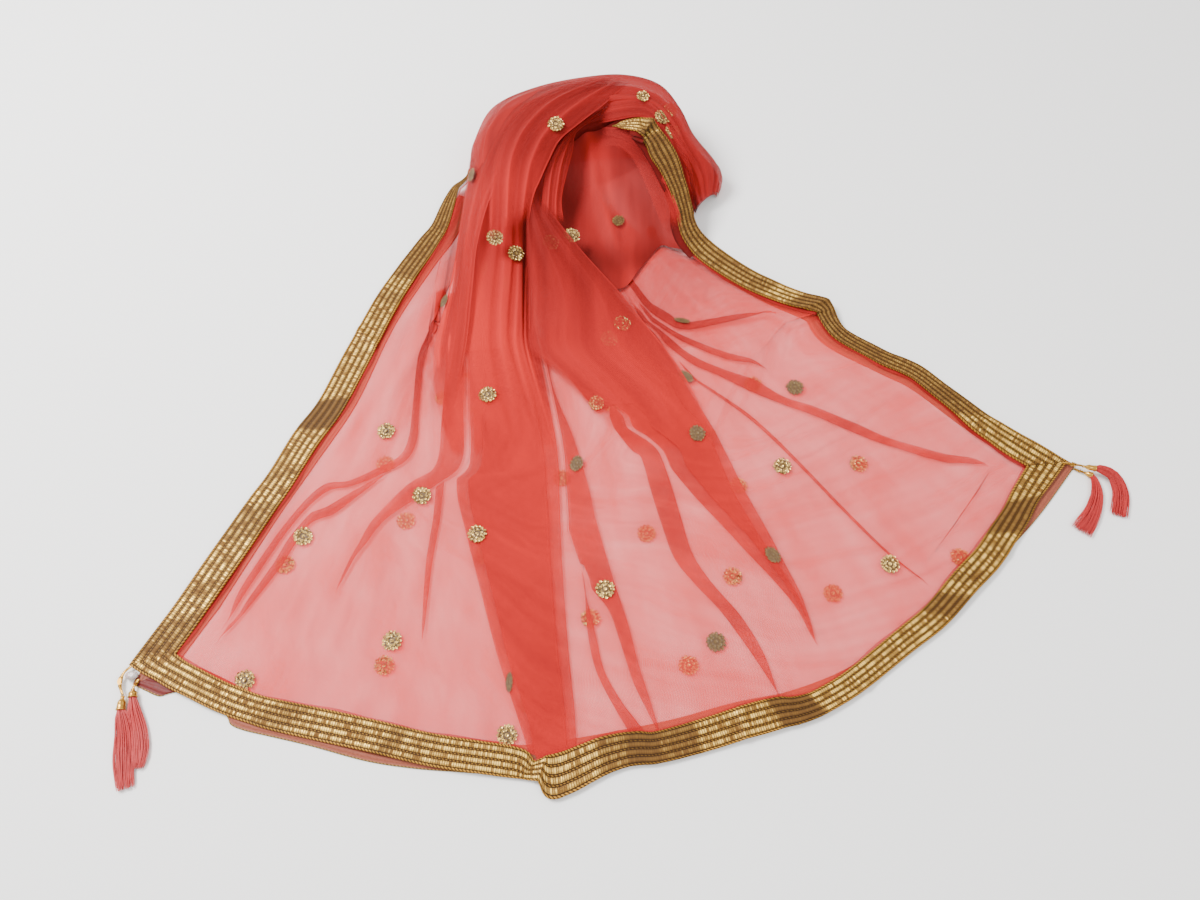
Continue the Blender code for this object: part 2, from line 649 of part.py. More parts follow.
def strand_ring(mesh_data, ring, path, along, index, tier, cap_height):
    """Next four corners of one thread, joined to the ring before it."""
    share = (index + 0.5) / STRANDS_ACROSS * 2.0 - 1.0
    reach = along * (1.0 - 0.015 * ((index * 7) % 5))
    x, y, half = path(reach)
    normal = path.left_normal(min(reach, 0.99))
    middle = np.array([x, y]) + normal * half * share
    resting = 1.0 + TIER_HEIGHT * tier
    height = resting + (cap_height - 0.5 * TIER_HEIGHT - 1.0) * (1.0 - along) ** 2
    corners = [(-STRAND_HALF, -STRAND_HALF), (STRAND_HALF, -STRAND_HALF),
               (STRAND_HALF, STRAND_HALF), (-STRAND_HALF, STRAND_HALF)]
    new = [mesh_data.verts.new((*(middle + normal * a), height + b)) for a, b in corners]
    for k in range(4):
        n = (k + 1) % 4
        mesh_data.faces.new((ring[k], ring[n], new[n], new[k]))
    return new


def rod_solid(name, points, radius, material):
    """A short thread loop through points, with flat ends."""
    data = bpy.data.curves.new(name, "CURVE")
    data.dimensions = "3D"
    data.bevel_depth = radius * MM
    data.bevel_resolution = 1
    data.use_fill_caps = True
    spline = data.splines.new("POLY")
    spline.points.add(len(points) - 1)
    for target, (x, y, z) in zip(spline.points, points):
        target.co = ((x - CENTRE[0]) * MM, (y - CENTRE[1]) * MM, z * MM, 1.0)
    obj = bpy.data.objects.new(name, data)
    data.materials.append(material)
    bpy.context.scene.collection.objects.link(obj)
    return obj


def bead_solid(name, place, radii, material):
    mesh_data = bmesh.new()
    bmesh.ops.create_icosphere(mesh_data, subdivisions=2, radius=1.0)
    bmesh.ops.scale(mesh_data, verts=mesh_data.verts, vec=radii)
    bmesh.ops.translate(mesh_data, verts=mesh_data.verts, vec=place)
    return add_object(name, mesh_data, material)


# ---- the part ------------------------------------------------------------------------------
def make_material(name):
    colour, roughness, metallic = COLOURS[name]
    material = bpy.data.materials.new(name)
    material.use_nodes = True
    shader = material.node_tree.nodes["Principled BSDF"]
    shader.inputs["Base Color"].default_value = (*colour, 1.0)
    shader.inputs["Roughness"].default_value = roughness
    shader.inputs["Metallic"].default_value = metallic
    return material


def build():
    for obj in list(bpy.data.objects):
        bpy.data.objects.remove(obj, do_unlink=True)
    materials = {name: make_material(name) for name in COLOURS}
    net, gold, thread = materials["net"], materials["gold"], materials["thread"]

    lower_left = Border(LOWER_LEFT_EDGE, False, True)
    lower_hem = Border(LOWER_HEM_EDGE, True, True)
    lower_right = Border(LOWER_RIGHT_EDGE, True, False)
    upper_left = Border(LEFT_EDGE, False, True)
    upper_hem = Border(HEM_EDGE, True, True, HEM_FOLD)
    upper_right = Border(RIGHT_EDGE, True, False)

    for before, after in ((lower_left, lower_hem), (lower_hem, lower_right),
                          (upper_left, upper_hem), (upper_hem, upper_right)):
        before.mitred_to(after)

    lower_fan = Fan(lower_left, lower_hem, lower_right, LOWER_NECK)
    lower_columns = [a / LOWER_COLUMNS for a in range(LOWER_COLUMNS + 1)]
    lower_rows = [u / LOWER_ROWS for u in range(LOWER_ROWS + 1)]
    grid = [[lower_fan.at(a, u) for a in lower_columns] for u in lower_rows]
    wall_solid("net_lower", [[(p[0], p[1], LOWER_Z + WALL) for p in row] for row in grid],
               [[(p[0], p[1], LOWER_Z) for p in row] for row in grid], net)

    first = upper_right.first
    fan_end = (upper_right.outer.share_of_row(FAN_END_ON_RIGHT) - first) / (1.0 - first)
    upper_fan = Fan(upper_left, upper_hem, upper_right, UPPER_NECK, fan_end)
    upper_fan.sample()
    top, under, hem_columns = pleated_grid(upper_fan)
    wall_solid("net_upper", top, under, net)

    drop = heap_solid("net_drop", drop_sections(), net)
    crown = heap_solid("net_crown", crown_sections(), net)
    top, under = hollow_grid()
    hollow = wall_solid("net_hollow", top, under, net)

    border_solid("border_left_lower", lower_left, LOWER_Z, gold, lower_rows)
    border_solid("border_hem_lower", lower_hem, LOWER_Z, gold, lower_columns)
    border_solid("border_right_lower", lower_right, LOWER_Z, gold, lower_rows)
    upper_rows = [u / FAN_ROWS for u in range(FAN_ROWS + 1)]
    climb = [fan_end + (1.0 - fan_end) * k / CLIMB_STATIONS for k in range(1, CLIMB_STATIONS + 1)]
    tree = surface_tree([drop, crown, hollow])
    border_solid("border_left_upper", upper_left, UPPER_Z, gold, upper_rows)
    border_solid("border_hem_upper", upper_hem, UPPER_Z, gold, hem_columns)
    border_solid("border_right_upper", upper_right, UPPER_Z, gold,
                 [u * fan_end for u in upper_rows] + climb, tree)

    for name, (x, y, z, degrees, length, radius, rows) in TASSELS.items():
        cap_solid("tassel_cap_" + name, x, y, z, degrees, length, radius, gold)
        lock_solid("tassel_threads_" + name, x, y, z, degrees, length, radius, rows, thread)
        rod_solid("tassel_cord_" + name, CORDS[name], CORD_RADIUS, gold)
    bead_solid("corner_bead_left", BEAD_PLACE, BEAD_RADII, materials["bead"])


build()
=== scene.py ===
"""Looks of the dupatta: sheer net, its folds, woven gold borders, sequins and tassels.

Tables are in millimetres from the cloth's own drawing: X to the right, Y away from the
front hem, Z up from the surface.  placed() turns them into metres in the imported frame.
"""

import math

import bmesh
import bpy
import numpy as np
from mathutils import Matrix, Vector
from mathutils.bvhtree import BVHTree


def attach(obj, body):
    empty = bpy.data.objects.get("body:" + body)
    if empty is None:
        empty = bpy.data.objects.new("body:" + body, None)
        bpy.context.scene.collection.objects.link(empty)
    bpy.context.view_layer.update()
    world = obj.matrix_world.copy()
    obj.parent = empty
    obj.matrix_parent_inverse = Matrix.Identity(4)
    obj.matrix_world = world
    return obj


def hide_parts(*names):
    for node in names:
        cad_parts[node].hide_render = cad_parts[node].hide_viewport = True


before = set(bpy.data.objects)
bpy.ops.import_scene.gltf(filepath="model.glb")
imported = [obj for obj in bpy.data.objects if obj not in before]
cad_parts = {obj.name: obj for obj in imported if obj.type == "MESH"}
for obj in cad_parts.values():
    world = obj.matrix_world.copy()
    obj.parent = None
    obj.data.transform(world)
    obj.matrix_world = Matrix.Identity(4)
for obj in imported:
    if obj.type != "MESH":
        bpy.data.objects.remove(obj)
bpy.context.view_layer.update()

MM = 0.001
CENTRE = np.array([-1.4, 11.2, 0.0])   # moved to the origin
BORDER_WIDTH = 31.0
# how many millimetres of pattern lie on each cloth; they scale the pattern alone
FAN_PATTERN_WIDTH = 930.0              # from side to side of either net
UPPER_PATTERN_LENGTH = 620.0           # from hem to heap
LOWER_PATTERN_LENGTH = 680.0
HEAP_PATTERN_WIDTH = 170.0             # over the heap from foot to foot
HEAP_PATTERN_LENGTH = 760.0            # and along it
SEAM = 0.3                             # gap between border and net
LOWER_NET_Z = 0.6
UPPER_NET_Z = 2.1
LOWER_BORDER_Z = 0.9
UPPER_BORDER_Z = 3.1
LAYER_PITCH = 0.5                      # height between folded layers of net

# ---- outlines ----------------------------------------------------------------------------
# columns: x, y, z of the outer edge, width of the border seen from above
LEFT_EDGE = [
    (-207, 311, 11, 3), (-209, 303, 9, 4), (-215, 296, 8, 6), (-224, 289, 6.5, 9),
    (-231, 276, 5.5, 13), (-238, 257, 4.5, 17), (-246, 231, 3.2, 20), (-256, 214, 2.6, 23),
    (-266, 196, 2, 25), (-282, 166, 1.6, 27), (-301, 125, 0.9, 29), (-325, 57, 0, 30),
    (-346, -6, 0, 30), (-363, -38, 0, 31), (-371, -55, 0, 31), (-387, -96, 0, 30),
    (-400, -122, 0, 31), (-420, -164, 0, 32), (-450, -228, 0, 32), (-464, -256, 0, 32),
    (-482, -291, 0, 32),
]
HEM_EDGE = [
    (-482, -291, 0, 27), (-470, -298, 0, 27), (-457, -304, 0, 26), (-442, -312, 0, 25),
    (-422, -321, 0, 25), (-400, -331, 0, 25.5), (-381, -338, 0, 26), (-365, -343, 0, 26),
    (-345, -349, 0, 27), (-306, -357.5, 0, 28), (-251, -369, 0, 28), (-197, -381, 0, 28),
    (-140, -389, 0, 27.5), (-122, -391, 0, 26), (-114, -392, 0, 23), (-108, -393, 0, 17),
    (-102, -393.5, 0, 19), (-94, -393.5, 0, 21.5), (-84, -392.5, 0, 23), (-72, -391, 0, 25),
    (-57, -387.5, 0, 27), (-42, -384, 0, 29), (-28, -382, 0, 30), (-13, -380, 0, 29.5),
    (2, -379, 0, 28), (25, -374, 0, 28), (55, -366, 0, 28.5), (85, -357, 0, 29),
    (104, -352, 0, 29.5), (119, -347.5, 0, 28), (129, -345.5, 0, 26), (143, -341, 0, 24),
    (159, -334, 0, 23), (192, -315, 0, 23), (243, -278, 0, 24), (278, -253, 0, 25.5),
    (312, -220, 0, 27), (339, -195, 0, 27.5), (361, -168, 0, 27.5), (377, -148, 0, 27),
    (392, -125, 0, 27), (411, -103, 0, 29), (431, -80, 0, 31),
]
# the hem's border is doubled over on itself here; columns: x, overhang past the edge
HEM_FOLD = [(-101.5, 0.0), (-99.5, 6.0), (-97.5, 10.5), (-94.5, 14.0), (-90, 15.5), (-85, 15.3),
            (-71.5, 11.4), (-57, 7.4), (-42, 3.7), (-28, 0.6), (-22, 0.0)]
RIGHT_EDGE = [
    (431, -80, 0, 31), (407, -61, 0, 32), (389, -48, 0, 31), (373, -35, 0, 29), (359, -24, 0, 27),
    (342, -7, 0, 24), (323, 12, 0, 22), (302, 34, 0, 21), (285, 45, 0, 20), (268, 53, 0, 19),
    (251, 64, 0.7, 18.5), (234, 75, 1.4, 18.5), (222, 85, 2, 19), (216, 96, 4, 20),
    (212, 111, 5.5, 22), (207, 119, 7.4, 23), (198, 124, 7.4, 22.5), (184, 129, 6.3, 23.5),
    (166, 138, 4.8, 25), (148, 148.5, 4.2, 26), (130, 159, 4.6, 26.5), (112, 173, 5.1, 27.5),
    (94, 188, 7, 28.5), (79, 202, 9, 28), (68, 213, 14, 25), (62, 223, 20, 21.5),
    (59, 234, 28, 20), (56, 243, 35, 21), (53, 253, 42, 22), (49, 263, 48, 23.5),
    (46, 272, 54, 26), (42, 282, 59.5, 29), (37, 291, 64, 31), (30, 301, 68.5, 30),
    (21, 311, 74, 27), (14, 320.5, 77, 28), (4, 323.5, 78, 29), (-5, 323, 78.7, 22),
    (-15, 322, 77.3, 16), (-25, 321, 74.5, 10), (-34, 320, 72, 6),
]
FAN_END_ON_RIGHT = 23                  # row of RIGHT_EDGE where the fan ends
LOWER_LEFT_EDGE = [
    (-218, 283, 0, 24), (-243, 228, 0, 28), (-266, 190, 0, 31), (-298, 128, 0, 34),
    (-314, 78, 0, 32), (-336, 0, 0, 31), (-367, -66, 0, 31), (-397, -128, 0, 31),
    (-442, -226, 0, 33), (-460, -270, 0, 33), (-476, -308, 0, 32),
]
# the short end of the lower half, under the upper one
LOWER_HEM_EDGE = [
    (-476, -308, 0, 24), (-463, -314, 0, 24), (-450, -319, 0, 22), (-442, -317, 0, 22),
    (-432, -315.5, 0, 22), (-415, -321, 0, 22), (-401, -326.5, 0, 22), (-388, -333.5, 0, 22),
    (-383, -339, 0, 26), (-379, -345, 0, 30), (-365, -350, 0, 31), (-342, -355, 0, 31),
    (-306, -363, 0, 31), (-255, -376, 0, 31), (-215, -382, 0, 31), (-178, -385, 0, 30),
    (-144, -387, 0, 28), (-100, -387, 0, 26), (10, -372, 0, 30), (80, -353, 0, 29),
    (136, -339, 0, 27), (200, -305, 0, 20), (279, -249, 0, 19), (345, -184, 0, 22),
    (391, -139, 0, 31), (440, -83, 0, 31),
]
LOWER_RIGHT_EDGE = [
    (440, -83, 0, 31), (367, -28, 0, 31), (305, 30, 0, 29), (266, 53, 0, 27),
    (218, 85, 0, 27), (200, 116, 0, 26), (153, 144, 0, 26), (111, 172, 0, 24),
    (85, 192, 0, 20), (67, 210, 0, 18),
]
# columns: share of the hem, x, y; between the inner ends of the two side borders
UPPER_NECK = [
    (0.02, -220, 200), (0.05, -225, 130), (0.12, -231, 108), (0.28, -234, 96),
    (0.36, -180, 97), (0.46, -121, 97), (0.50, -119, 118), (0.58, -117, 145),
    (0.68, -20, 131), (0.84, 3, 163), (0.94, 26, 193),
]
LOWER_NECK = [(0.30, -140, 285), (0.50, -100, 278), (0.70, -30, 245), (0.85, 5, 215), (0.93, 22, 193)]

# ---- folds of the upper net --------------------------------------------------------------
# each fold: left edge, right edge (x, y from the heap towards the hem), and the distances by
# which its second fold lies inside the left and the right edge, or nothing
FOLDS = [
    ([(-233, 108), (-238, 77), (-246, 45), (-246, -18), (-247, -53), (-254, -73), (-275, -87), (-303, -102),
      (-330, -108), (-359, -147), (-391, -213), (-399, -247)],
     [(-227, 108), (-232, 77), (-239, 45), (-239, -18), (-238, -54), (-247, -79), (-271, -94), (-300, -108),
      (-325, -115), (-353, -150), (-385, -216), (-398, -248)], None),
    ([(-270, -95), (-299, -115), (-320, -130), (-345, -145), (-366, -193), (-391, -241),
      (-403, -264)],
     [(-268, -96), (-294, -121), (-314, -139), (-337, -151), (-359, -197), (-387, -244),
      (-402, -264)], None),
    ([(-218, 92), (-215, 40), (-214, -30), (-216, -84), (-242, -106), (-269, -139), (-278, -154),
      (-284, -170), (-290, -184), (-295, -199), (-300, -214)],
     [(-203, 92), (-196, 40), (-192, -20), (-190, -80), (-216, -108), (-255, -139), (-268, -154),
      (-277, -170), (-286, -184), (-292, -199), (-298, -214)], None),
    ([(-214, -101), (-214, -145), (-217, -193), (-215, -262)],
     [(-206, -101), (-207, -145), (-211, -193), (-213, -262)], None),
    ([(-214, 92), (-204, 30), (-192, -42), (-193, -108), (-181, -156), (-163, -216), (-144, -279),
      (-123, -336), (-109, -374)],
     [(-124, 92), (-110, 30), (-93, -60), (-89, -113), (-85, -188), (-78, -270), (-71, -332),
      (-69, -364)], (9, 10)),
    ([(-62, -225), (-60, -257), (-53, -292), (-41, -319), (-23, -350)],
     [(-61, -225), (-52, -262), (-44, -296), (-28, -325), (-10, -348)], None),
    ([(-114, 56), (-113, -10), (-109, -59), (-97, -98), (-82, -145), (-61, -208), (-40, -238),
      (-29, -270), (-18, -306), (-6, -332), (2, -347)],
     [(-107, 56), (-97, 6), (-79, -42), (-69, -74), (-59, -111), (-52, -145), (-35, -208),
      (-22, -250), (-12, -292), (-2, -325), (4, -347)], None),
    ([(-34, -40), (-16, -66), (-6, -75), (3, -111), (14, -153), (24, -185), (41, -210),
      (65, -238), (82, -263), (96, -286), (112, -314)],
     [(-20, -40), (4, -58), (14, -72), (23, -102), (33, -144), (42, -180), (58, -209),
      (86, -245), (104, -280), (113, -314)], None),
    ([(-104, 132), (-106, 60), (-84, 26), (-60, -9), (-38, -38), (-17, -60), (9, -60),
      (25, -88), (47, -119), (71, -149), (93, -177), (120, -210), (139, -238), (150, -266)],
     [(-30, 132), (-10, 103), (13, 77), (32, 39), (50, -1), (68, -36), (83, -73), (100, -118),
      (117, -156), (129, -185), (140, -212), (146, -230), (154, -268)], (11, 9)),
    ([(52, 19), (107, -28), (157, -87), (222, -170), (264, -210)],
     [(55, 20), (111, -26), (161, -86), (225, -169), (265, -209)], None),
    ([(2, 91), (22, 67), (50, 40), (78, 25), (110, 6), (146, -12), (180, -27), (213, -44), (247, -60),
      (301, -80), (322, -82), (345, -83)],
     [(5, 96), (27, 75), (50, 52), (85, 32), (117, 19), (147, -2), (181, -16), (221, -35), (252, -52),
      (302, -70), (331, -75), (346, -80)], None),
    ([(9, 95), (42, 69), (86, 46), (117, 39), (131, 32)],
     [(10, 101), (42, 77), (86, 55), (117, 44), (131, 33)], None),
    ([(4, 112), (22, 96), (45, 84), (94, 93), (147, 104)],
     [(10, 120), (28, 106), (46, 94), (94, 101), (148, 108)], None),
]
FOLD_FADE = 0.05                       # share of the ray over which a fold opens and closes
OPEN_AT_HEM = 0.02                     # a fold that starts before this is open at the hem
OPEN_AT_HEAP = 0.93                    # and one that ends after this runs in under the heap
EDGE_LINE = 1.1                        # width of the dense line along a folded edge
EDGE_LAYERS = 1.9                      # how dense that line is
FOLD_SHADE = 2.5                       # painted shade where the net lies over itself
CLOSED = 0.02                          # a fold that is open less than this lies flat
LEAST_STEP = 0.001                     # across, between a fold and the net beside it
LEAST_ROOM = 0.0012                    # between the end of one fold and the start of the next
LEAST_FOLD = 0.0001                    # width of a fold that is all but closed
CLOSED_ROOM = 0.003                    # between a closed fold and the one to its right
GAP_COLUMNS = 8                        # columns of net between two folds
END_COLUMNS = 14                       # and beyond the last fold
CROWDING = 1.6                         # how strongly columns crowd towards the side borders

SHADE_OVER_BORDER = 0.8                  # painted shade added where the net lies over the lower border, which lets less light through from behind
STILL_SHARE = 0.05                     # share of the net, from its edges, over which waves grow
NECK_FROM = 0.965                      # share of a ray from which the upper net sinks at the neck
NECK_SINK = 0.6                        # how much of its height it loses there
HEAP_CROWDS_AND_SHADES_FROM = 0.60                # share of a ray from which the gathers crowd the net and the heap's painted shade falls on it
CROWDED_LAYERS = 0.85                  # layers and painted shade that this adds at the heap
CROWDED_SHADE = 1.9
SWELL = 1.6                            # height of the upper net's soft waves
RIPPLE = 0.55                          # and of its gathers
LOWER_SWELL = 0.9
FAN_REACH = 1.09                       # how far the nets run on under the heap
FAN_ROWS = 200
LOWER_ROWS = 90
LOWER_COLUMNS = 150
LOWER_EVENED = 40                      # how often the lower net's columns are evened out
HEM_TUCK = 9.0                         # how far the lower net runs in under its border

# ---- heap --------------------------------------------------------------------------------
# columns: inner foot x, y, outer foot x, y, foot height, height, squareness outside, inside,
# layers of net
HEAP_SECTIONS = [
    (-92, -60, -200, -70, 3.0, 5.0, 2.3, 2.3, 0.0), (-106, 0, -222, -10, 2.6, 6, 2.3, 2.3, 0.6),
    (-122, 60, -229, 50, 2.0, 9, 2.3, 2.3, 1.5), (-125, 90, -225, 90, 1.5, 12, 2.3, 2.3, 2.2),
    (-126, 130, -219, 130, 1.5, 18, 2.3, 2.3, 2.8), (-126, 170, -215, 170, 1.5, 26, 2.3, 2.3, 3.4),
    (-127, 210, -212, 210, 1.5, 36, 2.3, 2.3, 3.4), (-128, 250, -208, 250, 1.5, 47, 2.3, 2.3, 3.4),
    (-128, 280, -206, 285, 1.0, 56, 2.2, 2.3, 3.4), (-127, 303, -205, 312, 0.6, 62, 2.2, 2.3, 3.4),
    (-118, 318, -203, 336, 0.6, 66, 2.2, 2.6, 3.4), (-94, 331, -186, 382, 0.6, 71, 2.2, 3.2, 3.4),
    (-64, 338, -138, 409, 0.6, 75, 2.2, 3.6, 3.4), (-34, 343, -78, 421, 0.6, 79, 2.2, 3.8, 3.4),
    (-6, 342, -22, 425, 0.6, 80, 2.2, 3.8, 3.4), (15, 333, 24, 410, 0.6, 78, 2.2, 3.4, 3.4),
    (31, 315, 50, 372, 0.6, 72, 2.2, 3.0, 3.4), (43, 295, 66, 338, 0.6, 60, 2.2, 2.8, 3.2),
    (55, 270, 98, 306, 0.6, 38, 2.2, 2.5, 3.0), (64, 252, 94, 280, 0.6, 18, 2.2, 2.2, 2.8),
]
DROP_END_ROW = 9                       # row of HEAP_SECTIONS where the drop meets the crown
HEAP_COLUMNS = 130
ARCH_FROM = 225.0                      # Y from which painted shade darkens the heap under its arch
ARCH_DEPTH = 80.0                      # and over how far
DARKEST_HEAP = 6.0                     # greatest painted shade on the heap and its veils

# long folds over the heap; columns: place across at the front, at the turn and at the loose
# end, height, width on the outer side, width on the inner side (shares of the section)
HEAP_FOLDS = [
    (0.20, 0.14, 0.20, 1.7, 0.051, 0.020), (0.30, 0.22, 0.30, 2.2, 0.027, 0.058),
    (0.38, 0.33, 0.34, 1.9, 0.051, 0.024), (0.47, 0.40, 0.44, 2.9, 0.020, 0.068),
    (0.55, 0.50, 0.50, 1.9, 0.044, 0.017), (0.61, 0.57, 0.58, 2.5, 0.017, 0.051),
    (0.68, 0.64, 0.63, 1.5, 0.034, 0.014), (0.74, 0.70, 0.72, 2.4, 0.017, 0.044),
    (0.80, 0.77, 0.80, 1.5, 0.031, 0.014), (0.86, 0.83, 0.86, 1.7, 0.014, 0.034),
    (0.09, 0.06, 0.10, 1.5, 0.024, 0.037), (0.92, 0.92, 0.92, 1.2, 0.017, 0.024),
]

# the hollow between drop and border: front and back foot, then heights from front to back
# columns: front x, y, back x, y, and the four heights
HOLLOW_SECTIONS = [
    (-124, 150, -127.5, 299, 14, 24, 36, 40), (-98, 148, -107, 322, 11, 22, 34, 40),
    (-66, 144, -85, 331.5, 8, 16, 24, 38), (-25, 139, -59, 337, 5, 13, 20, 46),
    (-2, 168, -31, 341, 5, 14, 26, 60), (21, 199, -5, 339.5, 6, 18, 36, 72),
    (34, 196.5, 14, 331.0, 8, 20, 42, 74), (44, 194.5, 30.5, 313.5, 8, 20, 44, 68),
    (54, 192.5, 42.5, 293.5, 7, 20, 40, 58), (64, 191, 55, 268, 6, 18, 34, 46),
]
HOLLOW_COLUMNS = 100
HOLLOW_ROWS = 90

# single veils of net over the heap, each a strip between two edges
# columns: first edge x, y, z, second edge x, y, z, rise in the middle, layers
SASH = [
    (-34, 392, 83, -10, 387, 82, 0, 0.8), (-60, 387, 83, -22, 374, 81, 1, 2.0),
    (-95, 374, 81, -43, 351, 78, 3, 2.2), (-130, 354, 79, -71, 325, 74, 4, 2.2),
    (-154, 322, 75, -94, 302, 70, 4, 2.2), (-167, 285, 71, -106, 277, 64, 4, 2.2),
    (-172, 245, 66, -115, 253, 60, 3, 2.2), (-173, 202, 56, -123, 228, 57, 2, 1.6),
    (-172, 161, 46, -128, 193, 50, 1, 0.6),
]
FRILL = [
    (-43, 351, 72, -22, 370, 70, 0, 1.2), (-64, 334, 70, -48, 347, 64, 1, 2.2),
    (-87, 313, 66, -75, 327, 58, 1, 2.4), (-103, 287, 60, -80, 302, 52, 2, 2.4),
    (-112, 259, 54, -87, 269, 47, 2, 2.4), (-115, 226, 46, -92, 239, 40, 2, 2.4),
    (-115, 191, 36, -89, 209, 33, 1, 1.6),
]
ARCH_BAND = [
    (-48, 357, 70, -50, 332, 66, 0, 1.4), (-29, 362, 76, -29, 334, 70, 2, 2.6),
    (-1, 361, 78, -1, 335, 74, 2, 2.6), (16, 352, 77, 17, 324, 72, 2, 2.6),
    (30, 337, 72, 29, 303, 60, 2, 2.4), (47, 308, 64, 45, 278, 44, 2, 2.2),
    (61, 287, 54, 62, 263, 30, 1, 1.6),
]
HOOD_RIM = [
    (-48, 316, 66, -48, 323, 70, 0, 1.2), (-23, 304, 68, -18, 314, 75, 0, 2.2),
    (-2, 289, 64, 4, 300, 72, 0, 2.2), (14, 262, 54, 21, 269, 60, 0, 2.2),
    (29, 235, 38, 37, 240, 42, 0, 2.2), (38, 214, 24, 47, 217, 28, 0, 1.4),
]
HOOD_LINING = [
    (-57, 299, 58, -41, 320, 68, 0, 0.8), (-29, 299, 62, -13, 310, 72, 1, 1.2),
    (-11, 283, 58, 7, 292, 68, 1, 1.2), (3, 256, 48, 23, 261, 55, 1, 1.2),
    (16, 228, 32, 38, 232, 38, 1, 1.2), (26, 208, 18, 48, 208, 24, 0, 0.6),
]
DIAGONAL_PANEL = [
    (-128, 231, 57, -120, 235, 58, 0, 1.4), (-131, 204, 52, -103, 212, 50, 1, 2.2),
    (-131, 162, 43, -69, 172, 33, 2, 2.6), (-130, 116, 32, -27, 128, 15, 3, 2.8),
    (-130, 77, 21, 3, 86, 9, 3, 2.6), (-127, 52, 10, 26, 52, 6.5, 2, 2.4),
    (-92, 19, 6, 46, 14, 6, 1, 1.6), (-59, -20, 5, 62, -26, 5, 1, 0.9),
    (-36, -56, 4.8, 78, -67, 4.8, 0, 0.0),
]
UNDER_PANEL = [
    (-126, 191, 36, -93, 192, 34, 0, 2.0), (-125, 155, 32, -64, 162, 24, 1, 3.0),
    (-123, 116, 24, -35, 131, 10, 1, 3.0), (-120, 83, 14, -4, 93, 6, 1, 2.4),
    (-108, 55, 6, 12, 56, 4.5, 0, 1.6), (-80, 18, 4.2, 38, 18, 4.2, 0, 0.8),
    (-48, -31, 4, 57, -31, 4, 0, 0.0),
]
OUTER_VEIL = [
    (-236, -43, 4, -204, -41, 4.5, 0, 0.0), (-223, 63, 5, -193, 56, 14, 2, 1.1),
    (-215, 135, 8, -189, 121, 26, 3, 1.3), (-213, 202, 14, -184, 178, 42, 4, 1.6),
    (-207, 275, 26, -168, 235, 60, 6, 2.0), (-198, 328, 42, -139, 284, 72, 7, 2.2),
    (-173, 362, 56, -112, 329, 78, 7, 2.2), (-132, 385, 66, -60, 366, 83, 6, 2.0),
    (-66, 399, 74, -24, 384, 84, 3, 1.0),
]
TAIL_FOLD = [
    (32, 366, 74, 13, 347, 76, 0, 0.6), (49, 356, 62, 29, 329, 72, 1, 1.4),
    (59, 333, 50, 40, 304, 62, 2, 1.6), (76, 310, 34, 50, 284, 48, 2, 1.6),
    (92, 298, 20, 57, 268, 32, 1, 1.4), (94, 286, 14, 62, 255, 18, 0, 0.8),
]
# name: table, how strongly it is creased, how dense its free edge is, painted shade at both ends
VEILS = {
    "sash": (SASH, 1.0, 1.2, (4.2, 3.4)), "frill": (FRILL, 0.9, 1.2, (4.4, 3.8)),
    "arch": (ARCH_BAND, 0.7, 0.8, (3.6, 3.6)), "hood_rim": (HOOD_RIM, 0.2, 0.9, (3.6, 3.6)),
    "hood_lining": (HOOD_LINING, 0.3, 0.7, (3.6, 3.6)),
    "diagonal": (DIAGONAL_PANEL, 0.6, 0.8, (5.6, 1.9)),
    "under_panel": (UNDER_PANEL, 1.0, 0.1, (6.8, 3.8)), "outer": (OUTER_VEIL, 0.5, 0.5, (3.2, 4.4)),
    "tail": (TAIL_FOLD, 0.6, 0.8, (3.6, 3.6)),
}
VEIL_ROWS = 110
VEIL_COLUMNS = 80

# ---- sequin rosettes ---------------------------------------------------------------------
# columns: x, y, then turned by degrees, 1 or -1 where the back shows, squeezed to this share by
# a fold; a shorter row takes the rest from AS_SEWN
AS_SEWN = (0, 1, 1.0)
UPPER_ROSETTES = [
    (-167, -3, 10), (-271, -44), (-227, -119, 15), (-340, -163, 5), (-169, -161), (-43, -218, 20),
    (-242, -268), (-373, -305, 10), (-131, -354), (60, -269, 30, -1), (233, -192),
    (-52, -11, 5, 1, 0.85), (-72, -83, -20, -1, 0.7), (53, -48, 12, -1, 0.9), (-19, 93),
    (43, 95, 80, -1, 0.45), (44, 22, 50, -1, 0.6), (120, -183, 40, -1, 0.7), (160, 9, 0, -1),
    (138, -86, 25), (-131, -307, 0, -1, 0.35), (-222, 118, -15, -1, 0.35),
]
LOWER_ROSETTES = [
    (-35, 74), (-36, -11, 10), (4, 15), (116, 14), (-215, -3, 0, 1, 0.9), (-187, 24, 70, 1, 0.4),
    (-178, -20, 60, 1, 0.4), (-268, -82, 0, -1), (-241, -145, 0, -1), (-354, -192), (-247, -291),
    (-161, -182, 0, -1), (-117, -211), (-120, -239), (-112, -326, 0, -1), (-57, -246),
    (-2, -159, 0, -1), (80, -204), (34, -291), (175, -221, 0, -1), (217, -82), (92, -107),
    (64, -48, 0, -1), (-118, -70, 0, -1), (-118, -95, 0, -1), (-87, -98, 0, -1), (303, -184),
]
HEAP_ROSETTES = [
    (-99, 318), (2, 361, 0, 1, 0.8), (-143, 172, 10), (-197, 272, 0, -1, 0.7),
    (-27, 227, -40, -1, 0.7),
]
COVERED_ROSETTES = [
    (24, 334), (-179, 154, 0, 1, 0.5), (12, 216, 0, -1, 0.7), (34, 346, 0, 1, 0.8), (36, 319),
    (-24, 85), (-38, 66),
]
DEEP_ROSETTES = [
    (-165, 178), (-153, 139, 0, 1, 0.4), (-103, 177), (-80, 190),
]
COVER = 2.0                            # how far under the heap's surface the covered ones lie
DEEP_COVER = 5.0                       # and the deep ones
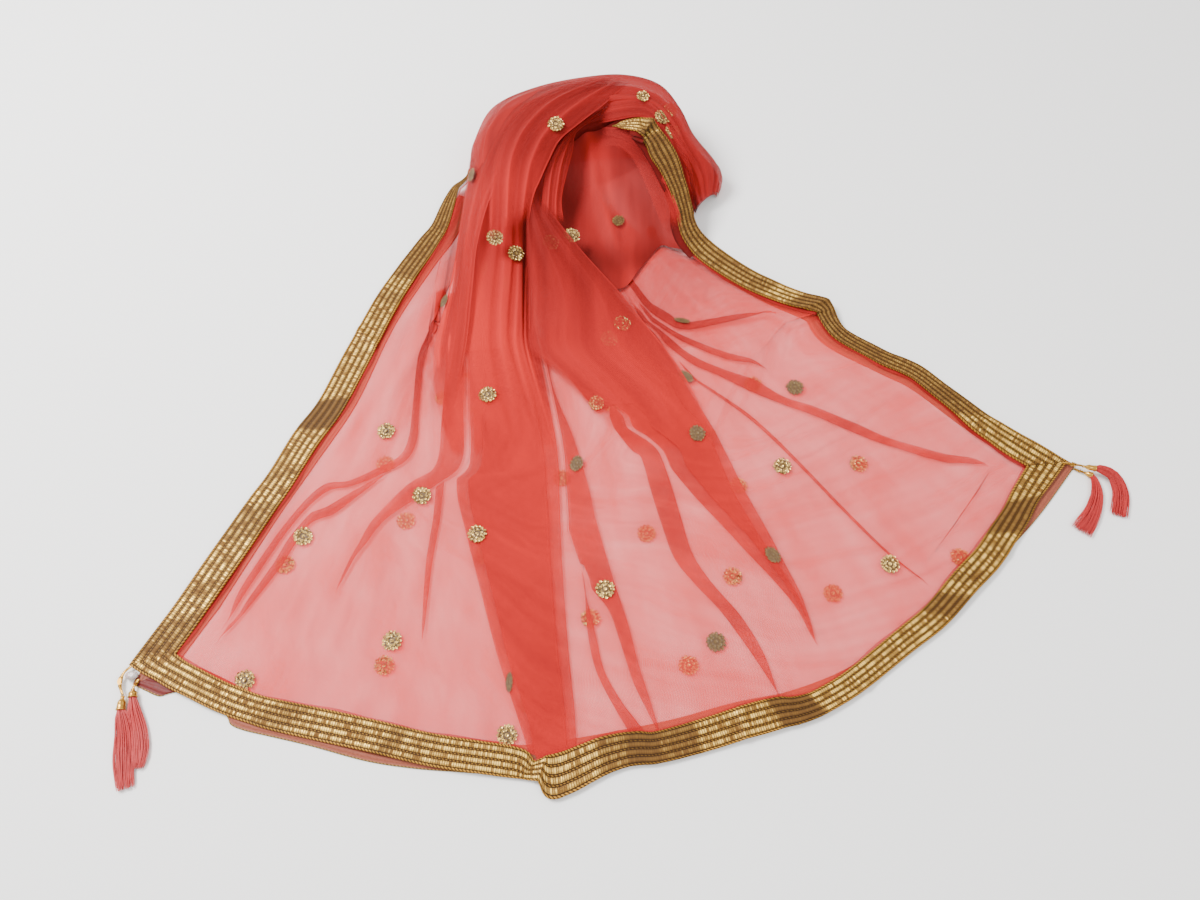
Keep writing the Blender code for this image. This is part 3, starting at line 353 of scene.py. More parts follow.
ROSETTE_RINGS = [(14, 8.0, 1.7), (9, 4.8, 1.6), (1, 0.0, 1.9)]    # sequins, ring radius, radius
ROSETTE_RISE = 0.3                     # over the net that it is sewn to
BACK_FLATNESS = 0.4                    # height of a rosette's back, as a share of its front's
SEQUIN_SIDES = 9
SEQUIN_CUP = ((0.28, 0.0), (0.7, 0.12), (1.0, 0.3))    # shares of the radius: ring, its height
WEB_SIDES = 26                         # the web of thread that the sequins are sewn to
WEB_RADIUS = 8.0

# ---- creases and darker stretches of the borders -----------------------------------------
# columns: x, y where it is, half length along the border, how strongly it is darkened there
DARKER_STRETCHES = {
    "hem": [(-36, -365, 14, 0.7), (-8, -365, 18, 1), (23, -360, 18, 0.85), (132, -330, 22, 1),
            (284, -225, 16, 0.85), (374, -132, 26, 0.9), (315, -198, 8, 0.4), (-240, -359, 8, 0.6),
            (-214, -364, 4, 0.5), (-344, -332, 17, 0.5)],
    "left": [(-345, -32, 20, 1), (-376, -105, 4, 0.6), (-404, -156, 22, 0.5), (-442, -226, 5, 0.3),
             (-459, -275, 20, 0.6), (-289, 124, 9, 0.6), (-246, 231, 85, 0.75)],
    "right": [(322, -16, 14, 0.9), (303, -1, 60, 0.75), (228, 83, 70, 0.85), (107, 178, 60, 0.6),
              (52, 255, 62, 0.85), (16, 318, 9, 0.9)],
    "lower_hem": [(-458, -316, 26, 1.0)],
}
CREASE_WIDTHS = (2.2, 7.0)             # steep side, soft side
# columns: x, y where it crosses the border, slant in millimetres, height
CREASES = {
    "hem": [(84, -355, 8, 1.6), (199, -309, 10, 1.6), (352, -180, 10, 1.6), (-104, -391, 2, 1.8)],
    "left": [(-320, 74, 26, 1.4)],
    "right": [(16, 318, -6, 3.2), (205, 121, 8, 1.6)],
}

# ---- tassels -----------------------------------------------------------------------------
# cap x, y, z, turned by degrees, length, radius, then x, y, half width down the lock
TASSELS = {
    "left_upper": (-480, -326, 4.6, -86, 13, 4.0, [(-477, -338, 6), (-472, -352, 8.5),
                                                   (-468, -371, 9.7), (-464, -388, 8), (-460, -400, 7)]),
    "left_lower": (-472, -317, 4.6, -80, 8, 4.0, [(-467, -334, 6), (-460, -352, 8),
                                                  (-455, -369, 7.5), (-454, -383, 5)]),
    "right_upper": (448, -90, 10.0, -12, 13, 3.0, [(460, -92, 5), (473, -98, 7),
                                                   (477, -115, 8), (469, -141, 8.5)]),
    "right_lower": (449, -94, 3.4, -24, 8, 3.0, [(454, -104, 4), (452, -119, 6),
                                                 (442, -139, 8), (427, -158, 10)]),
}
# thread loops from the corners of the cloth to the caps; columns: x, y, z
CORDS = {
    "left_upper": [(-479, -292, 3.9), (-484.5, -298.5, 4.2), (-486, -308, 4.6), (-480.6, -319.0, 4.6)],
    "left_lower": [(-470.5, -304, 2.4), (-472, -309, 3.4), (-472.8, -312.6, 4.6)],
    "right_upper": [(424, -82, 3.9), (432, -84, 6.0), (438, -87, 9.0), (441.3, -88.5, 10.0)],
    "right_lower": [(436, -88, 2.4), (441, -90.4, 2.8), (445.0, -92.2, 3.4)],
}
CORD_STRAND = 0.85                     # radius of each of a cord's two threads
CORD_LAY = 3.2                         # length of one turn of the threads
BEAD_PLACE = (-477.0, -300.8, 4.0)
BEAD_RADII = (6.0, 4.2, 2.8)
BEAD_DIMPLE = 0.22                     # share of its height that is missing in the middle
THREADS_PER_LOCK = 170
THREAD_RADIUS = 0.26
THREAD_STATIONS = 12
THREADS_START = 0.42                   # inside the cap, as a share of its length from its middle
LOCK_AT_CAP = 0.72                     # half width of the lock there, as a share of the cap's radius
CAP_SIDES = 28
# columns: share of the cap's length, share of its radius
CAP_PROFILE = [(0.0, 0.20), (0.0, 0.42), (0.06, 0.48), (0.12, 0.42), (0.18, 0.40), (0.26, 0.55),
               (0.36, 0.78), (0.46, 0.90), (0.50, 0.98), (0.55, 0.90), (0.72, 0.95), (0.86, 0.98),
               (0.92, 1.08), (0.97, 1.10), (1.0, 1.02), (1.0, 0.86), (0.8, 0.82)]

# camera: its foot on the surface, height, and how far it looks down
CAMERA_FOOT = (-48.0, -530.0)
CAMERA_HEIGHT = 875.0
CAMERA_DOWN = 62.0
CAMERA_LENS = 28.71


# ---- curves ------------------------------------------------------------------------------
def placed(points):
    """Drawing millimetres to metres in the frame."""
    return (np.asarray(points, dtype=float) - CENTRE) * MM


def smooth_step(value):
    """0 to 1 with soft ends."""
    value = np.clip(value, 0.0, 1.0)
    return value * value * (3.0 - 2.0 * value)


class Curve:
    """A smooth curve through table rows, read by its share of length."""

    STEPS = 16

    def __init__(self, rows):
        points = np.array(rows, dtype=float)
        padded = np.vstack([2 * points[0] - points[1], points, 2 * points[-1] - points[-2]])
        dense = []
        for i in range(1, len(padded) - 2):
            before, start, end, after = padded[i - 1:i + 3]
            for k in range(self.STEPS):
                f = k / self.STEPS
                dense.append(0.5 * (2 * start + (end - before) * f
                                    + (2 * before - 5 * start + 4 * end - after) * f ** 2
                                    + (3 * start - before - 3 * end + after) * f ** 3))
        dense.append(points[-1])
        self.dense = np.array(dense)
        steps = np.linalg.norm(np.diff(self.dense[:, :2], axis=0), axis=1)
        self.at_length = np.concatenate([[0.0], np.cumsum(steps)])
        self.length = self.at_length[-1]

    def __call__(self, share):
        s = np.clip(share, 0.0, 1.0) * self.length
        return np.stack([np.interp(s, self.at_length, column) for column in self.dense.T], axis=-1)

    def left_normal(self, share):
        """Unit vectors to the left of the direction of travel, seen from above."""
        along = self(np.asarray(share) + 0.004)[..., :2] - self(np.asarray(share) - 0.004)[..., :2]
        across = np.stack([-along[..., 1], along[..., 0]], axis=-1)
        return across / np.linalg.norm(across, axis=-1, keepdims=True)

    def share_of_row(self, row):
        """Share of the curve's length at one row of its table."""
        return self.at_length[row * self.STEPS] / self.length


MITRE_REACH = 0.1                      # share of the border over which its inner edge meets a corner


class Border:
    """Outer and inner edge of a border; both run with the cloth on their left."""

    def __init__(self, rows, mitre_start, mitre_end, fold=((0, 0.0),)):
        self.outer = Curve(rows)
        self.fold = np.array(fold, dtype=float)
        self.length = self.outer.length
        mitre = BORDER_WIDTH / self.length
        self.first = mitre if mitre_start else 0.0
        self.last = 1.0 - (mitre if mitre_end else 0.0)
        self.start_shift = np.zeros(2)
        self.end_shift = np.zeros(2)

    def outer_at(self, share):
        """Outer edge, with the part that is folded over on itself."""
        rows = self.outer(share)
        overhang = np.interp(rows[..., 0], self.fold[:, 0], self.fold[:, 1])
        outward = self.outer.left_normal(share) * -overhang[..., None]
        return np.concatenate([rows[..., :2] + outward, rows[..., 2:3]], axis=-1)

    def mitred_to(self, following):
        """Brings the inner corners of two neighbours to one point."""
        here = self.inner_at(np.array(1.0))[:2]
        there = following.inner_at(np.array(0.0))[:2]
        self.end_shift = 0.5 * (there - here)
        following.start_shift = 0.5 * (here - there)

    def place_of(self, share):
        """Share of the outer edge beside a share of the inner one, which the mitres shorten."""
        return self.first + (self.last - self.first) * share

    def inner_at(self, share, extra=0.0):
        share = np.asarray(share, dtype=float)
        rows = self.outer(self.place_of(share))
        inward = self.outer.left_normal(self.place_of(share)) * (rows[..., 3:4] + extra)
        inward = inward + self.start_shift * np.maximum(0.0, 1.0 - share / MITRE_REACH)[..., None]
        inward = inward + self.end_shift * np.maximum(0.0, 1.0 - (1.0 - share) / MITRE_REACH)[..., None]
        return np.concatenate([rows[..., :2] + inward, rows[..., 2:3]], axis=-1)


class Fan:
    """Plan of one half: rays from the hem to the neck between the two side borders."""

    def __init__(self, left, hem, right, neck, right_end=1.0):
        self.left = left
        self.hem = hem
        self.right = right
        self.right_end = right_end
        first = left.inner_at(np.array(0.0), SEAM)
        last = right.inner_at(np.array(right_end), SEAM)
        self.neck = np.array([(0.0, *first[:2])] + neck + [(1.0, *last[:2])], dtype=float)

    def neck_at(self, across):
        """Line along the heap where the rays end."""
        return np.stack([np.interp(across, self.neck[:, 0], self.neck[:, k]) for k in (1, 2)], axis=-1)

    def at(self, across, up):
        """Plan points and lift; across runs left to right, up from hem to neck."""
        across = np.asarray(across, dtype=float)
        up = np.asarray(up, dtype=float)
        hem = self.hem.inner_at(across, SEAM)
        start = self.hem.inner_at(np.array(0.0), SEAM)
        end = self.hem.inner_at(np.array(1.0), SEAM)
        within = np.minimum(up, 1.0)
        left = self.left.inner_at(1.0 - within, SEAM)
        right = self.right.inner_at(within * self.right_end, SEAM)
        u = up[..., None]
        a = across[..., None]
        beyond = np.maximum(u - 1.0, 0.0)
        u = np.minimum(u, 1.0)
        ray = (1 - u) * hem[..., :2] + u * self.neck_at(across)
        ray = ray + beyond * (self.neck_at(across) - hem[..., :2])
        left_bow = left[..., :2] - ((1 - u) * start[:2] + u * self.neck_at(np.array(0.0)))
        right_bow = right[..., :2] - ((1 - u) * end[:2] + u * self.neck_at(np.array(1.0)))
        plan = ray + (1 - a) ** 2 * left_bow + a ** 2 * right_bow
        lift = (left[..., 2] * (1 - smooth_step(across / 0.08))
                + hem[..., 2] * (1 - smooth_step(up / 0.1))
                + right[..., 2] * smooth_step((across - 0.72) / 0.28))
        return np.concatenate([plan, lift[..., None]], axis=-1)

    def sample(self):
        """A grid of plan points in which locate starts."""
        self.shares = np.linspace(0.0, 1.0, FAN_ROWS + 1)
        across, up = np.meshgrid(self.shares, self.shares)
        self.grid = self.at(across, up)[..., :2]

    def locate(self, points):
        """Across and up of plan points: the nearest sample, then a few Newton steps."""
        found = []
        for x, y in points:
            distance = np.hypot(self.grid[..., 0] - x, self.grid[..., 1] - y)
            row, column = np.unravel_index(np.argmin(distance), distance.shape)
            found.append((self.shares[column], self.shares[row]))
        place = np.array(found)
        target = np.array(points, dtype=float)
        step = 1e-4
        for _ in range(4):
            here = self.at(place[:, 0], place[:, 1])[:, :2]
            d_across = (self.at(place[:, 0] + step, place[:, 1])[:, :2] - here) / step
            d_up = (self.at(place[:, 0], place[:, 1] + step)[:, :2] - here) / step
            error = target - here
            det = d_across[:, 0] * d_up[:, 1] - d_across[:, 1] * d_up[:, 0]
            det = np.where(np.abs(det) < 1e-3, 1e9, det)
            move_across = (error[:, 0] * d_up[:, 1] - error[:, 1] * d_up[:, 0]) / det
            move_up = (d_across[:, 0] * error[:, 1] - d_across[:, 1] * error[:, 0]) / det
            place += np.clip(np.stack([move_across, move_up], axis=-1), -0.01, 0.01)
            place = np.clip(place, 0.0, 1.0)
        return place


# ---- meshes ------------------------------------------------------------------------------
def object_of(name, shape, smooth=False):
    """A bmesh made into an object of the scene."""
    mesh = bpy.data.meshes.new(name)
    shape.to_mesh(mesh)
    shape.free()
    if smooth:
        mesh.polygons.foreach_set("use_smooth", np.ones(len(mesh.polygons), dtype=bool))
    obj = bpy.data.objects.new(name, mesh)
    bpy.context.scene.collection.objects.link(obj)
    return obj


def cloth_grid(name, points, texture, **values):
    """A sheet whose rows and columns follow points; each value is kept as an attribute."""
    rows, columns = points.shape[:2]
    grid = bmesh.new()
    bmesh.ops.create_grid(grid, x_segments=columns - 1, y_segments=rows - 1, size=0.5)
    obj = object_of(name, grid, smooth=True)
    mesh = obj.data
    mesh.vertices.foreach_set("co", placed(points).reshape(-1).astype(np.float32))
    for label, value in values.items():
        kept = mesh.attributes.new(label, "FLOAT", "POINT")
        kept.data.foreach_set("value", np.asarray(value).reshape(-1).astype(np.float32))
    corner_verts = np.empty(len(mesh.loops), dtype=np.int32)
    mesh.loops.foreach_get("vertex_index", corner_verts)
    flat = (np.asarray(texture) * MM).reshape(-1, 2)[corner_verts]
    mesh.uv_layers.new(name="cloth").data.foreach_set("uv", flat.reshape(-1).astype(np.float32))
    mesh.update()
    return obj


def joined(name, objects):
    """Several meshes as one piece."""
    with bpy.context.temp_override(active_object=objects[0], object=objects[0],
                                   selected_objects=objects, selected_editable_objects=objects):
        bpy.ops.object.join()
    objects[0].name = name
    objects[0].data.name = name
    return objects[0]


def finish_piece(obj, material, nodes):
    """Material, body and the solids that the piece stands for."""
    obj.data.materials.clear()
    obj.data.materials.append(material)
    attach(obj, "root")
    if nodes:
        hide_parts(*nodes)


# ---- soft waves --------------------------------------------------------------------------
# columns: wavelengths along x and y, phase, height
BILLOWS = [
    (210, 330, 0.4, 0.50), (-170, 260, 1.9, 0.40), (120, -190, 4.1, 0.30), (95, 140, 2.7, 0.22),
    (-74, 118, 5.3, 0.16), (61, -83, 0.9, 0.12), (48, 57, 3.3, 0.08),
]


def billow(x, y):
    """Soft unevenness of a laid net, about 0 to 1."""
    total = 0.0
    for wave_x, wave_y, phase, height in BILLOWS:
        total = total + height * np.sin(2 * math.pi * (x / wave_x + y / wave_y) + phase)
    return 0.5 + 0.5 * total / 1.1


def gathers(across, up):
    """Fine waves along the rays, which grow towards the heap."""
    drift = across + 0.004 * np.sin(9 * up + 3 * across) + 0.003 * np.sin(23 * up + 1.3)
    fine = np.sin(2 * math.pi * 41 * drift + 4 * np.sin(7 * across))
    coarse = np.sin(2 * math.pi * 17 * drift + 2 * np.sin(5 * across) + 0.8)
    return (0.35 * fine + 0.65 * coarse) * (0.15 + 0.85 * up ** 1.4)


def stillness(across, up):
    """0 along the hem and the side borders, which hold the net flat, and 1 away from them."""
    return smooth_step(np.minimum(across, 1 - across) / STILL_SHARE) * smooth_step(up / STILL_SHARE)


# ---- nets of the fan ---------------------------------------------------------------------
def fold_tracks(fan):
    """Across of both edges of every fold, by up, with the insets of its second fold."""
    tracks = []
    for left, right, insets in FOLDS:
        edges = []
        for rows in (left, right):
            place = fan.locate(Curve(rows).dense)
            edges.append(place[np.argsort(place[:, 1])])
        tracks.append((*edges, insets))
    return tracks


def fold_state(track, up):
    """Edges of one fold at one height, and how far it is open."""
    left, right, insets = track
    low = max(left[0, 1], right[0, 1])
    high = min(left[-1, 1], right[-1, 1])
    a = np.interp(up, left[:, 1], left[:, 0])
    b = np.interp(up, right[:, 1], right[:, 0])
    opening = 1.0
    if low > OPEN_AT_HEM:
        opening *= smooth_step((up - low + 0.5 * FOLD_FADE) / FOLD_FADE)
    if high < OPEN_AT_HEAP:
        opening *= 1.0 - smooth_step((up - high - 0.5 * FOLD_FADE) / FOLD_FADE)
    return a, b, float(opening), insets


def fold_room(states):
    """Edges of the folds as far as they are open, closed ones clear of the next to the right."""
    ceiling = 1.0
    folds = []
    for a, b, opening, insets in reversed(states):
        middle = 0.5 * (a + b)
        if opening < CLOSED:
            middle = min(middle, ceiling - CLOSED_ROOM)
        half = 0.5 * (b - a) * opening
        ceiling = middle - half
        folds.append((ceiling, middle + half, opening, insets))
    return folds[::-1]


def fold_path(tracks, up, width):
    """One row across the upper net: across, level, layers and painted shade at each column."""
    path = [(0.0, 0.0, 1.0, 1.0)]
    line = EDGE_LINE / width
    floor = 0.0
    for a, b, opening, insets in fold_room([fold_state(track, up) for track in tracks]):
        a = max(a, floor + LEAST_ROOM)
        b = max(b, a + LEAST_FOLD)
        floor = b + LEAST_STEP
        turns = [b, a]
        if insets is not None:
            inner_left = insets[0] / width
            inner_right = insets[1] / width
            squeeze = min(1.0, 0.7 * (b - a) / (inner_left + inner_right))
            turns += [b - inner_right * squeeze, a + inner_left * squeeze]
        turns.append(b + LEAST_STEP)
        before = path[-1][0]
        for k in range(1, GAP_COLUMNS + 1):
            f = (k / (GAP_COLUMNS + 1.0)) ** (CROWDING if before == 0.0 else 1.0)
            path.append((before + (a - line - before) * f, 0.0, 1.0, 1.0))
        here = a - line
        if opening < CLOSED:
            path += [(there, 0.0, 1.0, 1.0) for there in np.linspace(here, b + LEAST_STEP, 6 * len(turns))]
            here = b + LEAST_STEP
            turns = []
        for index, there in enumerate(turns):
            turned = index < len(turns) - 1
            sign = 1.0 if there > here else -1.0
            reach = abs(there - here)
            dense = 1.0 + ((EDGE_LAYERS if turned else 1.0) - 1.0) * opening
            inset = min(line, 0.3 * reach)
            # painted shade: net doubled in a fold, and its turned edge, is painted darker
            tone = 1.0 + (FOLD_SHADE - 1.0) * opening * (index > 0)
            end_tone = 1.0 + (FOLD_SHADE - 1.0) * opening * turned
            first = (0.2 * inset, dense) if index else (inset, 1.0)
            for away, layers in (first, (inset, 1.0), (reach * 0.33, 1.0), (reach * 0.66, 1.0)):
                path.append((here + sign * away, index * opening, layers, tone))
            path.append((there - sign * inset, index * opening, 1.0, tone))
            path.append((there, (index + 0.5 * turned) * opening, dense, end_tone))
            here = there
        path.append((here + 0.0003 + 0.003 * opening, 0.0, 1.0, 1.0))
        floor = max(floor, here + 0.0004 + 0.004 * opening)
    before = path[-1][0]
    for k in range(1, END_COLUMNS + 1):
        f = 1.0 - (1.0 - k / float(END_COLUMNS)) ** CROWDING
        path.append((before + (1.0 - before) * f, 0.0, 1.0, 1.0))
    return np.array(path)


def upper_net(fan):
    """The upper half: every fold is a real doubling of the net over itself."""
    tracks = fold_tracks(fan)
    rows = []
    layers = []
    depth = []
    texture = []
    for up in np.linspace(0.0, FAN_REACH, FAN_ROWS + 1):
        left, middle, right = fan.at(np.array([0.0, 0.5, 1.0]), np.full(3, up))[:, :2]
        width = np.linalg.norm(middle - left) + np.linalg.norm(right - middle)
        path = fold_path(tracks, min(up, 1.0), width)
        across = np.clip(path[:, 0], 0.0, 1.0)
        plan = fan.at(across, np.full_like(across, up))
        still = stillness(across, up)
        swell = SWELL * billow(plan[:, 0], plan[:, 1]) * still
        ripple = RIPPLE * gathers(across, up) * still
        under_heap = smooth_step((up - 1.0) / (FAN_REACH - 1.0))
        lift = plan[:, 2] * (1.0 - 0.9 * under_heap)
        height = UPPER_NET_Z + lift + swell + ripple + LAYER_PITCH * path[:, 1]
        height = height * (1.0 - NECK_SINK * smooth_step((up - NECK_FROM) / 0.055))
        rows.append(np.stack([plan[:, 0], plan[:, 1], height], axis=-1))
        near_heap = smooth_step((min(up, 1.0) - HEAP_CROWDS_AND_SHADES_FROM) / (1.0 - HEAP_CROWDS_AND_SHADES_FROM))
        side = np.minimum(across, 1.0 - across) * width
        over_side = 1.0 - smooth_step((side - 6.0) / 5.0)
        over_border = np.maximum(over_side, 0.5 * (1.0 - smooth_step(up * 62.0)))
        crowded = 1.0 + CROWDED_LAYERS * near_heap
        layers.append(path[:, 2] * (1.0 - under_heap) * crowded * (1.0 - 0.3 * over_border))
        patchy = 0.5 * (billow(plan[:, 0] + 90, plan[:, 1]) - 0.5)
        # painted shade: darker in folds, towards the heap and over the lower border, with soft uneven spots
        depth.append(path[:, 3] + CROWDED_SHADE * near_heap + patchy + SHADE_OVER_BORDER * over_border)
        laid = np.cumsum(np.abs(np.diff(path[:, 0], prepend=0.0)))
        along = np.full_like(across, up * UPPER_PATTERN_LENGTH)
        texture.append(np.stack([laid * FAN_PATTERN_WIDTH, along], axis=-1))
    return cloth_grid("upper_net", np.array(rows), np.array(texture), layers=layers, depth=depth)


def lower_net(fan):
    """The lower half: one open layer, evened out and tucked in under its border at the hem."""
    across, up = np.meshgrid(np.linspace(0, 1, LOWER_COLUMNS + 1),
                             np.linspace(0, FAN_REACH, LOWER_ROWS + 1))
    plan = fan.at(across, up)
    for _ in range(LOWER_EVENED):
        plan[:, 1:-1] = 0.25 * plan[:, :-2] + 0.5 * plan[:, 1:-1] + 0.25 * plan[:, 2:]
    outward = plan[0, :, :2] - plan[1, :, :2]
    plan[0, :, :2] += HEM_TUCK * outward / np.linalg.norm(outward, axis=-1, keepdims=True)
    swell = LOWER_SWELL * billow(plan[..., 0] + 70, plan[..., 1] - 40)
    height = LOWER_NET_Z + swell * stillness(across, up)
    points = np.stack([plan[..., 0], plan[..., 1], height], axis=-1)
    texture = np.stack([across * FAN_PATTERN_WIDTH, up * LOWER_PATTERN_LENGTH], axis=-1)
    layers = 1.0 - smooth_step((up - 1.0) / (FAN_REACH - 1.0))
    # darker towards the heap, which is painted shade, and a touch deeper overall
    depth = 1.2 + 1.0 * smooth_step((up - 0.7) / 0.3)
    return cloth_grid("lower_net", points, texture, layers=layers, depth=depth)


# ---- heap --------------------------------------------------------------------------------
def surface_normals(points):
    """Unit vectors that stand off a grid of points."""
    along = np.gradient(points, axis=0)
    across = np.gradient(points, axis=1)
    normal = np.cross(across, along)
    return normal / np.maximum(np.linalg.norm(normal, axis=-1, keepdims=True), 1e-9)


def heap_rows(first_row, last_row, rows, shrink=0.0):
    """Cross-sections of the heap between two rows of its table."""
    curve = Curve([(0.5 * (r[0] + r[2]), 0.5 * (r[1] + r[3]), *r) for r in HEAP_SECTIONS])
    shares = np.linspace(curve.share_of_row(first_row), curve.share_of_row(last_row), rows)
    points = np.zeros((rows, HEAP_COLUMNS, 3))
    layers = np.zeros((rows, HEAP_COLUMNS))
    angle = np.linspace(0.0, math.pi, HEAP_COLUMNS)
    side = -np.cos(angle)
    for i, share in enumerate(shares):
        x_in, y_in, x_out, y_out, foot, height, square_out, square_in, nets = curve(share)[2:]
        square = np.where(side < 0, square_out, square_in)
        reach = np.sign(side) * np.abs(side) ** (2.0 / square) * (1.0 - shrink)
        rise = np.sin(angle) ** (2.0 / square) * (1.0 - shrink)
        outer = np.array([x_out, y_out])
        inner = np.array([x_in, y_in])
        points[i, :, :2] = outer + (inner - outer) * (0.5 * (1.0 + reach))[:, None]
        points[i, :, 2] = foot + (height - foot) * rise
        inside = smooth_step((side - 0.5) / 0.45)
        outside = smooth_step((-0.7 - side) / 0.3)
        layers[i] = max(nets, 0.0) * (1.0 + 0.5 * inside - 0.3 * outside)
    return points, layers, shares


def heap_relief(shares):
    """Height of the heap's long soft folds, each sharper on one side."""
    across = np.linspace(0.0, 1.0, HEAP_COLUMNS)[None, :]
    along = shares[:, None]
    height = np.zeros((len(shares), HEAP_COLUMNS))
    for front, turn, end, size, wide_out, wide_in in HEAP_FOLDS:
        place = np.interp(along, (0.0, 0.5, 1.0), (front, turn, end))
        place = place + 0.012 * np.sin(11 * along + 40 * front) + 0.006 * np.sin(29 * along + 17 * front)
        distance = across - place
        wide = np.where(distance < 0, wide_out, wide_in)
        swell = 0.75 + 0.25 * np.sin(13 * along + 60 * front)
        height += size * swell * np.exp(-(distance / wide) ** 2)
    return height * smooth_step(np.minimum(across, 1 - across) / 0.04)


def heap_depth(points, base, relief):
    """Painted shade on the heap: darker under the arch and in the troughs, lighter on the ridges."""
    arch = smooth_step((points[..., 1] - ARCH_FROM) / ARCH_DEPTH)
    return np.minimum(base + arch - 0.30 * (relief - 1.0), DARKEST_HEAP)


def heap_texture(shares, start=0.0):
    """Place in the pattern of every point of the heap's sections."""
    across = np.linspace(0.0, HEAP_PATTERN_WIDTH, HEAP_COLUMNS) + start
    return np.stack(np.meshgrid(across, shares * HEAP_PATTERN_LENGTH), axis=-1)


def heap_cloth(name, first_row, last_row, rows):
    """The heap's outside, with its folds."""
    points, layers, shares = heap_rows(first_row, last_row, rows)
    height = heap_relief(shares)
    points = points + surface_normals(points) * height[..., None]
    points[..., 2] = np.maximum(points[..., 2], 0.4)
    layers = layers * (1.0 + 0.10 * (height - 1.2))
    # painted shade: deeper where the net is denser, so the inner side is painted darker
    depth = heap_depth(points, 0.9 + 0.8 * layers, height)
    return cloth_grid(name, points, heap_texture(shares), layers=layers, depth=depth)


def heap_core(name, first_row, last_row, rows):
    """Folds inside the heap, which make it dense."""
    points, layers, shares = heap_rows(first_row, last_row, rows, shrink=0.14)
    points[..., 2] = np.maximum(points[..., 2] - 1.5, 0.5)
    # painted shade: the inner shell is painted darker than the outside
    return cloth_grid(name, points, heap_texture(shares, 400.0), layers=layers, depth=layers + 1.5)


def hollow_cloth():
    """Dense folds that fill the space between the drop and the right border, painted dark as the hollow's
    shade.
    """
    table = Curve(HOLLOW_SECTIONS)(np.linspace(0.0, 1.0, HOLLOW_COLUMNS))
    share = np.linspace(0.0, 1.0, HOLLOW_ROWS)
    plan = table[None, :, 0:2] * (1 - share[:, None, None]) + table[None, :, 2:4] * share[:, None, None]
    heights = np.array([[np.interp(f, (0.0, 0.33, 0.7, 1.0), row[4:8]) for row in table] for f in share])
    x, y = plan[..., 0], plan[..., 1]
    # one long fold stands up down the middle, and the cloth sinks beside the drop
    ridge = 5.0 * np.exp(-((x + 44 + 0.25 * (y - 250)) / 9.0) ** 2) * smooth_step((y - 165) / 50)
    trough = 7.0 * np.exp(-((x + 84) / 15.0) ** 2 - ((y - 262) / 46.0) ** 2)
    heights = heights + ridge - trough + 0.7 * np.sin(0.16 * x + 0.09 * y)
    points = np.stack([x, y, np.maximum(heights, 3.0)], axis=-1)
    texture = np.stack([x + 600.0, y], axis=-1)
    # thinner and lighter on the fold and at the right, denser and darker at the front, at the left and
    # under the arch; the same numbers set the density and the painted shade
    lit = np.exp(-((x + 36 + 0.25 * (y - 250)) / 17.0) ** 2)
    front = np.exp(-((y - 172 - 0.15 * (x + 50)) / 20.0) ** 2) * smooth_step((x + 110) / 30)
    left = np.exp(-((x + 88) / 15.0) ** 2 - ((y - 250) / 60.0) ** 2)
    back = np.exp(-((x + 35) / 45.0) ** 2 - ((y - 345) / 16.0) ** 2)
    right = smooth_step((x - 20) / 30) * smooth_step((250 - y) / 40)
    layers = 4.9 - 1.4 * lit + 1.3 * front + 1.6 * left + 1.8 * back - 1.8 * right
    return cloth_grid("hollow_folds", points, texture, layers=layers, depth=layers)


def veil(name, table, creased, edge_density, tone, seed):
    """A strip of net lofted between two edges, with soft folds along it."""
    curve = Curve([(0.5 * (r[0] + r[3]), 0.5 * (r[1] + r[4]), *r) for r in table])
    station = curve(np.linspace(0.0, 1.0, VEIL_ROWS))[:, 2:]
    across = np.linspace(0.0, 1.0, VEIL_COLUMNS)[None, :]
    along = np.linspace(0.0, 1.0, VEIL_ROWS)[:, None]
    first = station[:, None, 0:3]
    second = station[:, None, 3:6]
    points = first + (second - first) * across[..., None]
    points[..., 2] += station[:, None, 6] * 4 * across * (1 - across)
    width = np.linalg.norm(station[:, 3:6] - station[:, 0:3], axis=-1)[:, None]
    drift = across + 0.05 * np.sin(5.1 * along + seed) + 0.03 * np.sin(11.7 * along + 2.1 * seed)
    fold = 1.0 - np.abs(np.sin(math.pi * (2.7 * drift + 0.31 * seed))) ** 0.9
    fine = 1.0 - np.abs(np.sin(math.pi * (5.3 * drift + 0.47 * seed))) ** 1.1
    edge = smooth_step(np.minimum(across, 1 - across) / 0.12)
    relief = (2.3 * fold + 0.6 * fine) * creased
    points[..., 2] += relief * edge * smooth_step(width / 40.0)
    # it thins out at its ends and on its first edge, and its second edge is a dense line
    ends = smooth_step(along / 0.12) * smooth_step((1 - along) / 0.12)
    free = np.exp(-((1 - across) * width / 1.3) ** 2)
    hidden = smooth_step(across / 0.10)
    layers = np.maximum(station[:, None, 7], 0.0) * ends * hidden
    layers = layers * (1.0 + edge_density * free + 0.22 * relief * edge)
    texture = np.stack([across * width + 900.0 + 40 * seed, along * 300.0 + 0.0 * across], axis=-1)
    # painted shade from end to end, deeper on wide strips, under the arch and in troughs, lighter on ridges
    # and the free edge
    shade = tone[0] + (tone[1] - tone[0]) * along
    depth = heap_depth(points, shade + 0.25 * smooth_step(width / 20.0), 1.0 + 0.8 * relief * edge)
    depth = depth - 0.9 * free
    return cloth_grid(name, points, texture, layers=layers, depth=depth)


# ---- borders -----------------------------------------------------------------------------
RIBBONS = 4                            # metallic ribbons side by side across the border
EDGE_BRAID = 1.7                       # width of the braided line along each edge
RIBBON_SHARE = 0.64                    # of each repeat; the rest is a groove with a braid in it
RIBBON_HEIGHT = 0.6
BRAID_HEIGHT = 0.5                     # at the edges, and
GROOVE_BRAID_HEIGHT = 0.32             # between two ribbons
CLOTH_THICKNESS = 0.8
STATION_PITCH = 2.2                    # along a border
SEAM_PITCH = 5.0
RAY_START = 0.3                        # metres over the surface, above every piece


